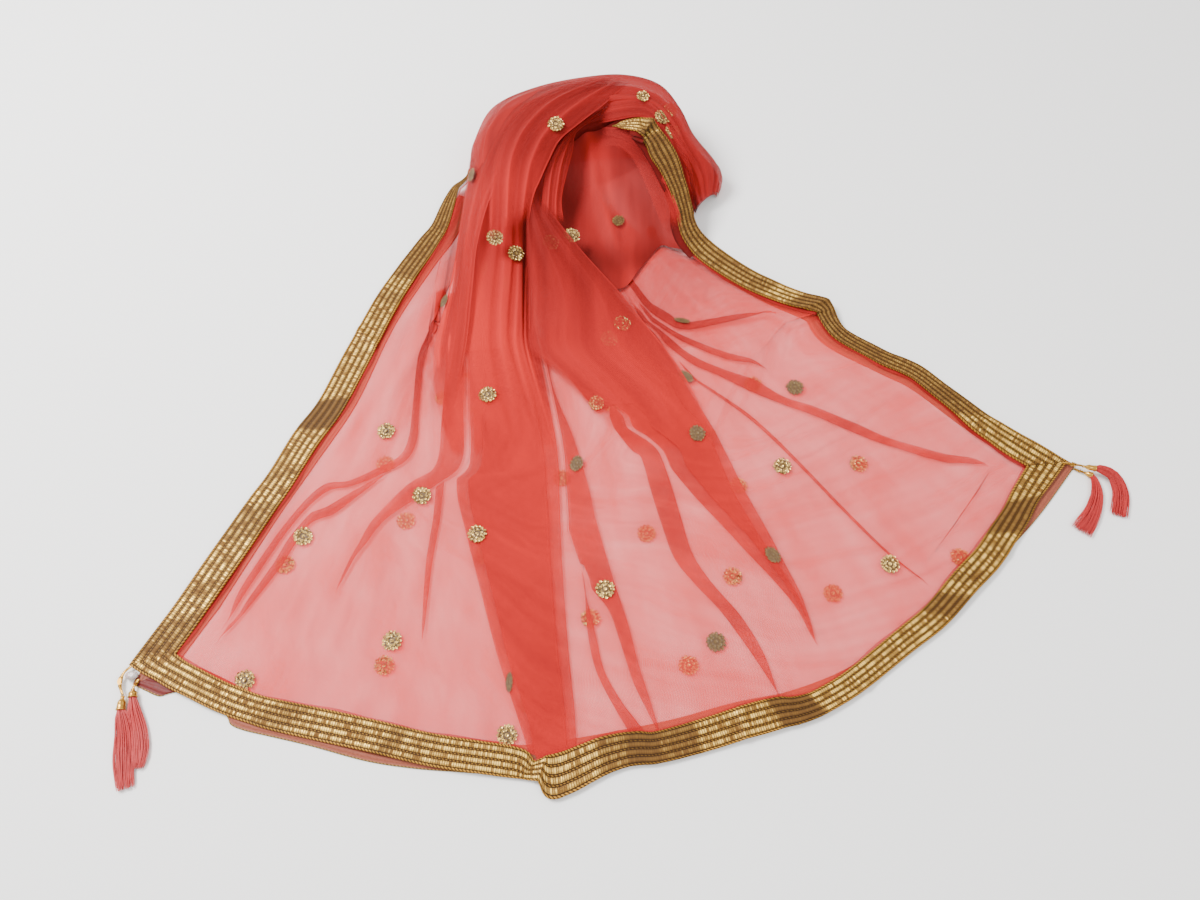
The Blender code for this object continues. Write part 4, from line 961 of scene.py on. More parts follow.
def border_profile():
    """Distance from the outer edge, and height, of each column of the woven strip."""
    edge = [(0.05, 0.1), (0.5 * EDGE_BRAID, BRAID_HEIGHT), (EDGE_BRAID - 0.1, 0.1)]
    columns = [(0.0, -CLOTH_THICKNESS)] + edge
    repeat = (BORDER_WIDTH - 2 * EDGE_BRAID) / RIBBONS
    ribbon = RIBBON_SHARE * repeat
    for number in range(RIBBONS):
        start = EDGE_BRAID + repeat * number + 0.5 * (repeat - ribbon)
        columns.append((start - 0.25, 0.0))
        for share, height in ((0.12, 0.75), (0.35, 1.0), (0.65, 1.0), (0.88, 0.75)):
            columns.append((start + share * ribbon, height * RIBBON_HEIGHT))
        columns.append((start + ribbon + 0.25, 0.0))
        if number < RIBBONS - 1:
            columns.append((start + ribbon + 0.5 * (repeat - ribbon), GROOVE_BRAID_HEIGHT))
    columns += [(BORDER_WIDTH - place, height) for place, height in reversed(edge)]
    return np.array(columns + [(BORDER_WIDTH, -CLOTH_THICKNESS)])


def solid_tree(names):
    """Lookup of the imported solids' surfaces."""
    verts = []
    faces = []
    for name in names:
        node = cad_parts[name]
        base = len(verts)
        verts += [node.matrix_world @ vert.co for vert in node.data.vertices]
        faces += [[base + index for index in face.vertices] for face in node.data.polygons]
    return BVHTree.FromPolygons(verts, faces)


def surface_below(tree, x, y):
    """Place and normal, in the frame, of the highest surface at a plan point."""
    start = Vector(((x - CENTRE[0]) * MM, (y - CENTRE[1]) * MM, RAY_START))
    return tree.ray_cast(start, Vector((0, 0, -1)))[:2]


def heights_on(tree, plan, least):
    """Height of the highest surface at each plan point, in millimetres."""
    result = []
    for (x, y), low in zip(plan, least):
        hit = surface_below(tree, x, y)[0]
        result.append(low if hit is None else max(hit.z / MM, low))
    return np.array(result)


def softened(values, reach):
    """Values evened out over their neighbours."""
    kernel = np.hanning(2 * reach + 3)[1:-1]
    kernel /= kernel.sum()
    padded = np.concatenate([np.full(reach, values[0]), values, np.full(reach, values[-1])])
    return np.convolve(padded, kernel, mode="valid")


def along_border(border, x, y):
    """Distance along a border of the place nearest to a plan point."""
    shares = np.linspace(0.0, 1.0, 600)
    away = np.linalg.norm(border.outer(shares)[:, :2] - (x, y), axis=-1)
    return shares[np.argmin(away)] * border.length


def border_strip(name, border, base, waves, marks, tree=None, taper=0.0):
    """The woven strip with its ribbons, braided edges, creases and slight unevenness.

    tree: solids that the strip climbs over; taper: length of its narrow end."""
    shares = np.linspace(0.0, 1.0, int(border.length / STATION_PITCH) + 1)
    outer = border.outer_at(shares)
    inner = border.inner_at(shares)
    # plan and lift of both edges
    if taper > 0.0:
        kept = 0.5 - 0.43 * smooth_step((shares - 1.0) * border.length / taper + 1.0)[:, None]
        middle = 0.5 * (outer + inner)
        outer = middle + (outer - middle) * 2 * kept
        inner = middle + (inner - middle) * 2 * kept
    along_outer = shares * border.length
    along_inner = border.place_of(shares) * border.length
    profile = border_profile()
    part = profile[:, 0] / BORDER_WIDTH
    outer_z = base + outer[:, 2]
    inner_z = base + inner[:, 2]
    if tree is not None:
        outer_z = softened(heights_on(tree, outer[:, :2] * 0.97 + inner[:, :2] * 0.03, outer_z), 3) + 0.5
        inner_z = softened(heights_on(tree, inner[:, :2] * 0.95 + outer[:, :2] * 0.05, inner_z), 3) + 0.5
    plan = outer[:, None, :2] + (inner - outer)[:, None, :2] * part[None, :, None]
    # waves and creases
    phase, tilt = waves
    lean = tilt * (np.sin(along_outer / 31.0 + phase) + 0.6 * np.sin(along_outer / 13.7 + 2 * phase))
    crest = 0.5 * tilt * (1 + np.sin(along_outer / 47.0 + 3 * phase))
    height = outer_z[:, None] + (inner_z - outer_z)[:, None] * part[None, :]
    height = height + lean[:, None] * (part[None, :] - 0.5) + crest[:, None] + abs(tilt) * 0.8
    width = np.linalg.norm((inner - outer)[:, :2], axis=-1)
    squash = np.clip(width / BORDER_WIDTH, 0.4, 1.0)[:, None]
    along = along_outer[:, None] + (along_inner - along_outer)[:, None] * part[None, :]
    for x, y, slant, size in CREASES.get(marks, ()):
        place = along_border(border, x, y) + slant * (part[None, :] - 0.5)
        distance = along_outer[:, None] - place
        height = height + size * np.exp(-(distance / np.where(distance < 0, *CREASE_WIDTHS)) ** 2)
    # stretches where the ribbons are darker and without glints; the one at the right border's fold is
    # painted shade beside its crease
    satin = np.zeros_like(along)
    for x, y, half, smooth in DARKER_STRETCHES.get(marks, ()):
        distance = along_outer[:, None] - along_border(border, x, y)
        satin = np.maximum(satin, smooth * (1.0 - smooth_step((np.abs(distance) - half) / 7.0 + 0.5)))
    height = height + profile[None, :, 1] * squash
    points = np.concatenate([plan, height[..., None]], axis=-1)
    texture = np.stack([along, np.broadcast_to(profile[None, :, 0], along.shape)], axis=-1)
    return cloth_grid(name, points[:, ::-1], texture[:, ::-1], satin=satin[:, ::-1])


def seam_shadow_strip(name, border, base, reach, layers, start=0.0, end=1.0, tree=None):
    """The net's turned-in edge, a dense line just inside the border, with the border's shadow painted on
    it.
    """
    stations = max(int(border.length * (end - start) / SEAM_PITCH), 8)
    shares = np.linspace(start, end, stations + 1)
    inner = border.inner_at(shares, -2.0)
    far = border.inner_at(shares, reach)
    run = shares * border.length
    uneven = 1.0 + 0.18 * np.sin(run / 23.0) + 0.12 * np.sin(run / 9.1)
    part = np.linspace(0.0, 1.0, 7)
    plan = inner[:, None, :2] + (far - inner)[:, None, :2] * part[None, :, None] * uneven[:, None, None]
    low = base + inner[:, 2]
    if tree is not None:
        low = softened(heights_on(tree, inner[:, :2], low), 2)
    height = np.broadcast_to(low[:, None], plan.shape[:2])
    points = np.concatenate([plan, height[..., None]], axis=-1)
    density = layers * np.interp(part, (0.0, 0.8, 0.95, 1.0), (1.0, 0.9, 1.3, 1.3))
    density = np.broadcast_to(density[None, ::-1], plan.shape[:2])
    texture = np.stack([plan[..., 0], plan[..., 1]], axis=-1)
    # painted shadow: the strip is two steps darker than its density alone
    return cloth_grid(name, points[:, ::-1], texture[:, ::-1], layers=density, depth=density + 2.0)


# ---- sequins -----------------------------------------------------------------------------
def sequin(shape, centre, radius, tilt, spin):
    """One cupped disc with a hole in its middle."""
    rings = []
    for share, lift in SEQUIN_CUP:
        made = bmesh.ops.create_circle(shape, cap_ends=False, segments=SEQUIN_SIDES, radius=radius * share)
        bmesh.ops.translate(shape, verts=made["verts"], vec=(0, 0, radius * lift))
        rings.append(made["verts"])
    for low, high in zip(rings[:-1], rings[1:]):
        for k in range(SEQUIN_SIDES):
            n = (k + 1) % SEQUIN_SIDES
            shape.faces.new((low[k], high[k], high[n], low[n]))
    turn = Matrix.Translation(centre) @ Matrix.Rotation(spin, 4, "Z") @ Matrix.Rotation(tilt, 4, "X")
    bmesh.ops.transform(shape, matrix=turn, verts=[vert for ring in rings for vert in ring])


def rosette_shape(random):
    """A small flower of sequins with its middle at the origin, on a web of gold thread."""
    shape = bmesh.new()
    stitched = shape.verts.layers.float.new("thread")
    made = bmesh.ops.create_circle(shape, cap_ends=True, segments=WEB_SIDES, radius=WEB_RADIUS)
    for number, vert in enumerate(made["verts"]):
        vert[stitched] = 1.0
        if number % 2:
            vert.co *= 0.9
    for count, ring, radius in ROSETTE_RINGS:
        for k in range(count):
            angle = 2 * math.pi * (k + 0.5 * (count < 10)) / count + random.uniform(-0.05, 0.05)
            away = ring * random.uniform(0.94, 1.05)
            centre = Vector((away * math.cos(angle), away * math.sin(angle), random.uniform(0.0, 0.35)))
            sequin(shape, centre, radius, random.uniform(-0.35, 0.35), random.uniform(0, 6.28))
    return shape


def to_frame(shape):
    """Moves a bmesh from drawing millimetres into the frame."""
    bmesh.ops.translate(shape, verts=shape.verts, vec=-Vector(CENTRE))
    bmesh.ops.scale(shape, verts=shape.verts, vec=(MM, MM, MM))


def rosettes(name, places, seed, dull):
    """Flowers of sequins as one mesh; places: x, y, z, normal, turned by, side, squeezed to.

    dull: how much of the thread's tone the fronts and the backs take; on the fronts of rosettes under net
    or heap this is painted shade."""
    random = np.random.default_rng(seed)
    whole = bmesh.new()
    for x, y, z, normal, degrees, side, squeeze in places:
        flower = rosette_shape(random)
        stitched = flower.verts.layers.float["thread"]
        for vert in flower.verts:
            vert[stitched] = max(vert[stitched], dull[side < 0])
        lean = Vector((0, 0, 1)).rotation_difference(normal).to_matrix().to_4x4()
        turn = Matrix.Rotation(math.radians(degrees), 4, "Z")
        flip = Matrix.Identity(4) if side > 0 else Matrix.Scale(BACK_FLATNESS, 4, Vector((0, 0, 1)))
        lift = Matrix.Translation(Vector((0, 0, ROSETTE_RISE)))
        narrow = Matrix.Scale(squeeze, 4, Vector((1, 0, 0)))
        place = Matrix.Translation(Vector((x, y, z))) @ lean @ turn @ narrow @ lift @ flip
        bmesh.ops.transform(flower, matrix=place, verts=flower.verts)
        piece = bpy.data.meshes.new("flower")
        flower.to_mesh(piece)
        flower.free()
        whole.from_mesh(piece)
        bpy.data.meshes.remove(piece)
    to_frame(whole)
    return object_of(name, whole)


def top_of(trees, x, y):
    """Highest point of some cloth at a plan point, and its soft slope there."""
    spots = []
    for away_x, away_y in ((0, 0), (5, 0), (-5, 0), (0, 5), (0, -5)):
        hits = [surface_below(tree, x + away_x, y + away_y) for tree in trees]
        hits = [hit for hit in hits if hit[0] is not None]
        if hits:
            place, normal = max(hits, key=lambda hit: hit[0].z)
            spots.append((place.z / MM, normal if normal.z > 0 else -normal))
    if not spots:
        return LOWER_NET_Z, Vector((0, 0, 1))
    normal = sum((spot[1] for spot in spots), Vector((0, 0, 0))).normalized()
    return max(spot[0] for spot in spots[:3]), normal


# ---- tassels -----------------------------------------------------------------------------


def thread_tube(shape, points, radius):
    """A three-sided thread through points, thin at its end."""
    rings = []
    for i, point in enumerate(points):
        ahead = points[min(i + 1, len(points) - 1)] - points[max(i - 1, 0)]
        ahead = ahead / np.linalg.norm(ahead)
        side = np.cross(ahead, (0.0, 0.0, 1.0))
        side = side / max(np.linalg.norm(side), 1e-6)
        top = np.cross(side, ahead)
        thin = radius * (1.0 if i < len(points) - 1 else 0.4)
        angles = [2 * math.pi * k / 3 + 0.5 for k in range(3)]
        rings.append([shape.verts.new(point + thin * (side * math.cos(angle) + top * math.sin(angle)))
                      for angle in angles])
    for low, high in zip(rings[:-1], rings[1:]):
        for k in range(3):
            n = (k + 1) % 3
            shape.faces.new((low[k], low[n], high[n], high[k]))


def threads_object(name, shape):
    """Threads modelled in drawing millimetres as an object in the frame."""
    for vert in shape.verts:
        vert.co = Vector(placed(vert.co))
    bmesh.ops.recalc_face_normals(shape, faces=shape.faces)
    return object_of(name, shape)


def tassel_threads(name, table, seed):
    """A lock of fine threads that leave the cap together and spread as they lie."""
    x, y, z, degrees, length, radius, rows = table
    into = THREADS_START * length
    angle = math.radians(degrees)
    mouth = (x + math.cos(angle) * into, y + math.sin(angle) * into)
    path = Curve([(*mouth, LOCK_AT_CAP * radius)] + rows)
    random = np.random.default_rng(seed)
    shape = bmesh.new()
    for _ in range(THREADS_PER_LOCK):
        across = random.uniform(-1.0, 1.0)
        deep = random.uniform(-1.0, 1.0) * math.sqrt(1 - across * across)
        reach = 1.0 - 0.10 * random.random() ** 2
        wander = random.uniform(-1, 1)
        curl = random.uniform(0, 6.28)
        points = []
        for k in range(THREAD_STATIONS + 1):
            t = k / THREAD_STATIONS
            px, py, half = path(t * reach)
            normal = path.left_normal(min(t * reach, 0.99))
            offset = half * across * (1.0 + 0.1 * wander * t) + 0.7 * math.sin(5 * t + curl) * t
            rest = 1.1 + (deep + 1.0) * 2.4 * (1 - 0.35 * t)
            start = z + deep * LOCK_AT_CAP * radius
            level = start + (rest - start) * smooth_step(t / 0.55)
            points.append(np.array([px + normal[0] * offset, py + normal[1] * offset, level]))
        thread_tube(shape, points, THREAD_RADIUS)
    return threads_object(name, shape)


def tassel_cap(name, table):
    """A bell cap turned from its profile, with beaded rings."""
    x, y, z, degrees, length, radius, _ = table
    shape = bmesh.new()
    verts = [shape.verts.new((length * (share - 0.5), radius * part, 0.0)) for share, part in CAP_PROFILE]
    edges = [shape.edges.new(pair) for pair in zip(verts[:-1], verts[1:])]
    bmesh.ops.spin(shape, geom=verts + edges, cent=(0, 0, 0), axis=(1, 0, 0), angle=2 * math.pi,
                   steps=CAP_SIDES, use_merge=True)
    bmesh.ops.recalc_face_normals(shape, faces=shape.faces)
    turn = Matrix.Translation(Vector(placed((x, y, z)))) @ Matrix.Rotation(math.radians(degrees), 4, "Z")
    bmesh.ops.transform(shape, matrix=turn @ Matrix.Scale(MM, 4), verts=shape.verts)
    return object_of(name, shape, smooth=True)


def tassel_cord(name, rows):
    """Two gold threads twisted round each other, with a knot beyond their middle."""
    path = Curve(rows)
    stations = max(int(path.length / 0.5), 16)
    shape = bmesh.new()
    for strand in (0, 1):
        points = []
        for k in range(stations + 1):
            share = k / stations
            px, py, pz = path(share)
            normal = path.left_normal(min(max(share, 0.01), 0.99))
            knot = math.exp(-((share - 0.55) / 0.14) ** 2)
            away = 0.6 + 1.5 * knot
            angle = 2 * math.pi * (share * path.length / CORD_LAY + 1.5 * smooth_step((share - 0.35) / 0.4))
            angle += math.pi * strand
            points.append(np.array([px + normal[0] * away * math.cos(angle),
                                    py + normal[1] * away * math.cos(angle),
                                    pz + 0.8 * away * math.sin(angle)]))
        thread_tube(shape, points, CORD_STRAND)
    return threads_object(name, shape)


def corner_bead():
    """A flattened bead with a dimple on top."""
    shape = bmesh.new()
    bmesh.ops.create_icosphere(shape, subdivisions=3, radius=1.0)
    for vert in shape.verts:
        dent = 1.0 - BEAD_DIMPLE * math.exp(-8 * (vert.co.x ** 2 + vert.co.y ** 2)) * (vert.co.z > 0)
        vert.co.z *= dent
    bmesh.ops.scale(shape, verts=shape.verts, vec=BEAD_RADII)
    bmesh.ops.translate(shape, verts=shape.verts, vec=BEAD_PLACE)
    to_frame(shape)
    return object_of("corner_bead", shape, smooth=True)


# ---- materials ---------------------------------------------------------------------------
class Wire:
    """A value in a node tree; sums, products and comparisons of wires are maths nodes."""

    def __init__(self, socket):
        self.socket = socket
        self.tree = socket.id_data

    def __add__(self, other):
        return maths("ADD", self, other)

    def __sub__(self, other):
        return maths("SUBTRACT", self, other)

    def __rsub__(self, other):
        return maths("SUBTRACT", other, self)

    def __mul__(self, other):
        return maths("MULTIPLY", self, other)

    def __truediv__(self, other):
        return maths("DIVIDE", self, other)

    def __pow__(self, other):
        return maths("POWER", self, other)

    def __rpow__(self, other):
        return maths("POWER", other, self)

    def __lt__(self, other):
        return maths("LESS_THAN", self, other)

    def __gt__(self, other):
        return maths("GREATER_THAN", self, other)


def feed(slot, value):
    """Links a wire to a socket, or gives the socket a number or a colour."""
    if isinstance(value, Wire):
        value.tree.links.new(value.socket, slot)
    elif isinstance(value, tuple):
        slot.default_value = (*value, 1.0)
    else:
        slot.default_value = value


def maths(operation, *values):
    """A maths node of wires and numbers."""
    tree = next(value.tree for value in values if isinstance(value, Wire))
    node = tree.nodes.new("ShaderNodeMath")
    node.operation = operation
    for slot, value in zip(node.inputs, values):
        feed(slot, value)
    return Wire(node.outputs[0])


def mix_colour(factor, first, second):
    """A colour between two, where factor is a wire from 0 to 1."""
    node = factor.tree.nodes.new("ShaderNodeMix")
    node.data_type = "RGBA"
    feed(node.inputs[0], factor)
    feed(node.inputs[6], first)
    feed(node.inputs[7], second)
    return Wire(node.outputs[2])


def noise(vector, scale, detail):
    """Soft noise over a vector; scale is one number, or one for each axis."""
    if isinstance(scale, tuple):
        stretch = vector.tree.nodes.new("ShaderNodeVectorMath")
        stretch.operation = "MULTIPLY"
        feed(stretch.inputs[0], vector)
        stretch.inputs[1].default_value = scale
        vector = Wire(stretch.outputs[0])
        scale = 1.0
    node = vector.tree.nodes.new("ShaderNodeTexNoise")
    feed(node.inputs["Vector"], vector)
    node.inputs["Scale"].default_value = scale
    node.inputs["Detail"].default_value = detail
    return Wire(node.outputs["Fac"])


def bands(vector, direction, scale):
    """Waves that run across a vector in one direction."""
    node = vector.tree.nodes.new("ShaderNodeTexWave")
    node.bands_direction = direction
    feed(node.inputs["Vector"], vector)
    feed(node.inputs["Scale"], scale)
    return Wire(node.outputs["Fac"])


def axes_of(vector):
    node = vector.tree.nodes.new("ShaderNodeSeparateXYZ")
    feed(node.inputs[0], vector)
    return [Wire(socket) for socket in node.outputs]


def attribute(tree, name):
    node = tree.nodes.new("ShaderNodeAttribute")
    node.attribute_name = name
    return Wire(node.outputs["Fac"])


def cloth_place(tree):
    """Place in the cloth's pattern, in metres."""
    node = tree.nodes.new("ShaderNodeUVMap")
    node.uv_map = "cloth"
    return Wire(node.outputs[0])


def object_place(tree):
    return Wire(tree.nodes.new("ShaderNodeTexCoord").outputs["Object"])


def raise_surface(shader, height, strength, distance):
    """Relief that is too fine to model."""
    bump = height.tree.nodes.new("ShaderNodeBump")
    bump.inputs["Strength"].default_value = strength
    bump.inputs["Distance"].default_value = distance
    feed(bump.inputs["Height"], height)
    feed(shader.inputs["Normal"], Wire(bump.outputs[0]))


def plain_material(name):
    material = bpy.data.materials.new(name)
    material.use_nodes = True
    return material, material.node_tree, material.node_tree.nodes["Principled BSDF"]


TULLE_PITCH = 260.0                    # waves of thread per metre, before the wave's own factor


def tulle_group():
    """Fine open mesh of the net: thread is 1 on the threads and 0 in the holes."""
    group = bpy.data.node_groups.new("tulle", "ShaderNodeTree")
    group.interface.new_socket("Place", in_out="INPUT", socket_type="NodeSocketVector")
    group.interface.new_socket("Pitch", in_out="INPUT", socket_type="NodeSocketFloat")
    group.interface.new_socket("Thread", in_out="OUTPUT", socket_type="NodeSocketFloat")
    source = group.nodes.new("NodeGroupInput")
    result = group.nodes.new("NodeGroupOutput")
    threads = None
    for turn in (0.0, 60.0, 120.0):
        mapping = group.nodes.new("ShaderNodeMapping")
        mapping.inputs["Rotation"].default_value = (0.0, 0.0, math.radians(turn))
        feed(mapping.inputs["Vector"], Wire(source.outputs["Place"]))
        line = bands(Wire(mapping.outputs[0]), "X", Wire(source.outputs["Pitch"])) ** 4.0
        threads = line if threads is None else maths("MAXIMUM", threads, line)
    feed(result.inputs["Thread"], threads)
    return group


NET_COVER = 0.44                       # share of light that one layer of net stops
SEAM_COVER = 0.5
STREAKS = (62.0, 7.0, 1.0)             # noise across and along the cloth
CLOUDS = (16.0, 9.0, 1.0)
# painted shade: how far the light has come through folded net, and the colour it shows; the first tone is
# the net's own colour
SHADED_NET_TONES = [(1.0, (0.82, 0.033, 0.027)), (2.0, (0.66, 0.026, 0.022)), (3.0, (0.48, 0.019, 0.017)),
             (4.0, (0.33, 0.014, 0.013)), (5.0, (0.21, 0.010, 0.009)), (6.5, (0.12, 0.006, 0.005)),
             (8.0, (0.065, 0.003, 0.003)), (10.0, (0.035, 0.002, 0.002))]
DEEPEST = SHADED_NET_TONES[-1][0]


def net_material(name, tulle, cover):
    """Sheer net: more layers are denser, its colour is darkened by painted shade, and streaks follow its
    gathers.
    """
    material, tree, shader = plain_material(name)
    place = cloth_place(tree)
    streaks = noise(place, STREAKS, 2.5)
    clouds = noise(place, CLOUDS, 2.0)
    mesh = tree.nodes.new("ShaderNodeGroup")
    mesh.node_tree = tulle
    mesh.inputs["Pitch"].default_value = TULLE_PITCH
    feed(mesh.inputs["Place"], place)
    thread = Wire(mesh.outputs[0])
    uneven = streaks * 0.45 + clouds * 1.1 + 0.225
    passing = (1.0 - cover) ** (attribute(tree, "layers") * uneven * (thread * 0.5 + 0.72))
    feed(shader.inputs["Alpha"], 1.0 - passing)
    tones = tree.nodes.new("ShaderNodeValToRGB")
    stops = tones.color_ramp.elements
    stops[0].position = SHADED_NET_TONES[0][0] / DEEPEST
    stops[0].color = (*SHADED_NET_TONES[0][1], 1.0)
    stops[1].color = (*SHADED_NET_TONES[-1][1], 1.0)
    for position, tone in SHADED_NET_TONES[1:-1]:
        stops.new(position / DEEPEST).color = (*tone, 1.0)
    # painted shade: the colour darkens with the cloth's own shade attribute and with streaks and soft
    # clouds, which stand in for the shade of gathers and wrinkles
    depth = attribute(tree, "depth") + (streaks * 2.0 + clouds * 1.6 - 1.8)
    feed(tones.inputs["Fac"], depth / DEEPEST)
    feed(shader.inputs["Base Color"], Wire(tones.outputs["Color"]))
    shader.inputs["Roughness"].default_value = 0.6
    shader.inputs["Specular IOR Level"].default_value = 0.06
    shader.inputs["Sheen Weight"].default_value = 0.12
    shader.inputs["Sheen Roughness"].default_value = 0.4
    shader.inputs["Sheen Tint"].default_value = (1.0, 0.30, 0.24, 1.0)
    raise_surface(shader, thread, 0.25, 0.0004)
    return material


FLECKS = 480.0                         # metal flecks per metre of ribbon
FLECK_STAGGER = 0.37                   # how far each ribbon's flecks lie on from the last one's
FLECK_GAP = 0.30                       # share of a fleck's length between it and the next
BRAID_FROM = 0.43                      # the groove's braid, as a share of the repeat from its middle
BRAID_TWIST = 190.0


def border_material():
    """Woven gold: ribbons of metallic flakes between dark grooves with fine braids; the flakes' glints are
    painted, brightest on each ribbon's crown.
    """
    material, tree, shader = plain_material("woven_gold")
    place = cloth_place(tree)
    along, across = axes_of(place)[:2]
    satin = attribute(tree, "satin")
    inside = across - EDGE_BRAID * MM
    turn = inside / ((BORDER_WIDTH - 2 * EDGE_BRAID) / RIBBONS * MM)
    middle = maths("ABSOLUTE", maths("FRACT", turn) - 0.5)
    edge = maths("MAXIMUM", inside < 0.0, across > (BORDER_WIDTH - EDGE_BRAID) * MM)
    braid = maths("MAXIMUM", middle > BRAID_FROM, edge)
    ribbon = (middle < 0.5 * RIBBON_SHARE) * (1.0 - edge)

    row = maths("FLOOR", turn)
    beat = along * FLECKS + row * FLECK_STAGGER
    cell = tree.nodes.new("ShaderNodeCombineXYZ")
    feed(cell.inputs[0], maths("FLOOR", beat))
    feed(cell.inputs[1], row)
    shades = tree.nodes.new("ShaderNodeTexWhiteNoise")
    shades.noise_dimensions = "2D"
    feed(shades.inputs["Vector"], Wire(cell.outputs[0]))
    fleck = Wire(shades.outputs["Value"])
    glint_patches = noise(place, (34.0, 60.0, 1.0), 2.0)
    grain = noise(place, (850.0, 1000.0, 1.0), 2.0)
    gap = maths("FRACT", beat) < FLECK_GAP
    # painted highlight: the rounded crown of each ribbon is painted lighter
    crown = 1.15 - middle * 2.2
    # painted glints: each fleck and soft area of the ribbons is painted from dark to bright gold
    lit = fleck * 1.15 + grain + glint_patches * 0.9 - gap * 0.85
    flake_glint = (lit - 0.88) * crown * (1.0 - satin * 0.96) * ribbon
    flake_glint = maths("MINIMUM", maths("MAXIMUM", flake_glint, 0.0), 1.0)

    ground = mix_colour(ribbon, (0.024, 0.009, 0.002), (0.120, 0.052, 0.010))
    # painted highlight along the crown of the darker stretches
    smooth = mix_colour(crown, (0.022, 0.008, 0.002), (0.105, 0.048, 0.012))
    ground = mix_colour(ribbon * satin, ground, smooth)
    gold = mix_colour(flake_glint, (0.25, 0.115, 0.018), (1.0, 0.64, 0.14))
    woven = mix_colour(flake_glint ** 0.5, ground, gold)
    twist = bands(place, "DIAGONAL", BRAID_TWIST)
    strand = twist * (1.0 - satin * 0.6) * (edge * 0.5 + 0.5)
    braided = mix_colour(strand, (0.032, 0.012, 0.002), (0.46, 0.22, 0.028))
    feed(shader.inputs["Base Color"], mix_colour(braid, woven, braided))
    metal = maths("MAXIMUM", flake_glint, braid * 0.4)
    feed(shader.inputs["Metallic"], metal * 0.45)
    feed(shader.inputs["Roughness"], 0.6 - metal * 0.25)
    shader.inputs["Specular IOR Level"].default_value = 0.12
    raise_surface(shader, fleck * flake_glint + twist * 0.35, 0.8, 0.0005)
    return material


def border_back_material():
    """The border's back, which lies up on the lower half: dull copper with a gold edge."""
    material, tree, shader = plain_material("woven_gold_back")
    place = cloth_place(tree)
    edge = (axes_of(place)[1] - 0.6 * EDGE_BRAID * MM) < 0.0
    grain = noise(place, (500.0, 900.0, 1.0), 3.0)
    copper = mix_colour(grain, (0.09, 0.020, 0.012), (0.40, 0.105, 0.058))
    netted = mix_colour(grain, (0.055, 0.006, 0.006), (0.19, 0.022, 0.018))
    copper = mix_colour(attribute(tree, "satin"), copper, netted)
    twist = bands(place, "DIAGONAL", BRAID_TWIST)
    braided = mix_colour(twist, (0.06, 0.024, 0.005), (0.34, 0.20, 0.050))
    feed(shader.inputs["Base Color"], mix_colour(edge, copper, braided))
    feed(shader.inputs["Metallic"], edge * 0.4)
    feed(shader.inputs["Roughness"], grain * 0.2 + 0.4)
    shader.inputs["Specular IOR Level"].default_value = 0.2
    raise_surface(shader, grain, 0.6, 0.0004)
    return material


def sequin_material():
    """Gold sequins, each painted its own brightness from shade to glint, on dark gold thread."""
    material, tree, shader = plain_material("sequin_gold")
    place = object_place(tree)
    stitched = attribute(tree, "thread")
    cells = tree.nodes.new("ShaderNodeTexVoronoi")
    cells.inputs["Scale"].default_value = 560.0
    feed(cells.inputs["Vector"], place)
    # painted glints and shade: each sequin is painted between dark and bright gold
    shade = axes_of(Wire(cells.outputs["Color"]))[0]
    gold = mix_colour(shade ** 1.4, (0.12, 0.052, 0.007), (1.0, 0.66, 0.18))
    threads = mix_colour(noise(place, 1800.0, 2.0), (0.024, 0.011, 0.003), (0.14, 0.064, 0.014))
    feed(shader.inputs["Base Color"], mix_colour(stitched, gold, threads))
    bare = 1.0 - stitched
    feed(shader.inputs["Metallic"], bare * 0.4)
    feed(shader.inputs["Roughness"], 0.55 - bare * 0.33)
    return material


def mottled_material(name, scale, detail, tones):
    """A material with soft noise between two tones; also its shader and the noise."""
    material, tree, shader = plain_material(name)
    tone = noise(object_place(tree), scale, detail)
    feed(shader.inputs["Base Color"], mix_colour(tone, *tones))
    return material, shader, tone


def metal_material(name, tones, roughness):
    material, shader, worn = mottled_material(name, 420.0, 3.0, tones)
    shader.inputs["Metallic"].default_value = 1.0
    feed(shader.inputs["Roughness"], worn * 0.2 + roughness)
    return material


def thread_material():
    tones = ((0.30, 0.014, 0.015), (0.58, 0.042, 0.042))
    material, shader, _ = mottled_material("tassel_thread", 700.0, 2.0, tones)
    shader.inputs["Roughness"].default_value = 0.42
    shader.inputs["Specular IOR Level"].default_value = 0.2
    shader.inputs["Sheen Weight"].default_value = 0.15
    shader.inputs["Sheen Tint"].default_value = (1.0, 0.35, 0.3, 1.0)
    return material


def bead_material():
    tones = ((0.30, 0.24, 0.225), (0.52, 0.44, 0.42))
    material, shader, _ = mottled_material("milky_bead", 500.0, 2.0, tones)
    shader.inputs["Roughness"].default_value = 0.25
    shader.inputs["Subsurface Weight"].default_value = 0.3
    return material


# ---- lights ------------------------------------------------------------------------------
def area_light(name, place, target, size, power):
    """A soft lamp of width and height size, turned to a target."""
    data = bpy.data.lights.new(name, "AREA")
    data.shape = "RECTANGLE"
    data.size = size[0]
    data.size_y = size[1]
    data.energy = power
    obj = bpy.data.objects.new(name, data)
    obj.location = place
    obj.rotation_euler = (Vector(target) - Vector(place)).to_track_quat("-Z", "Y").to_euler()
    bpy.context.scene.collection.objects.link(obj)


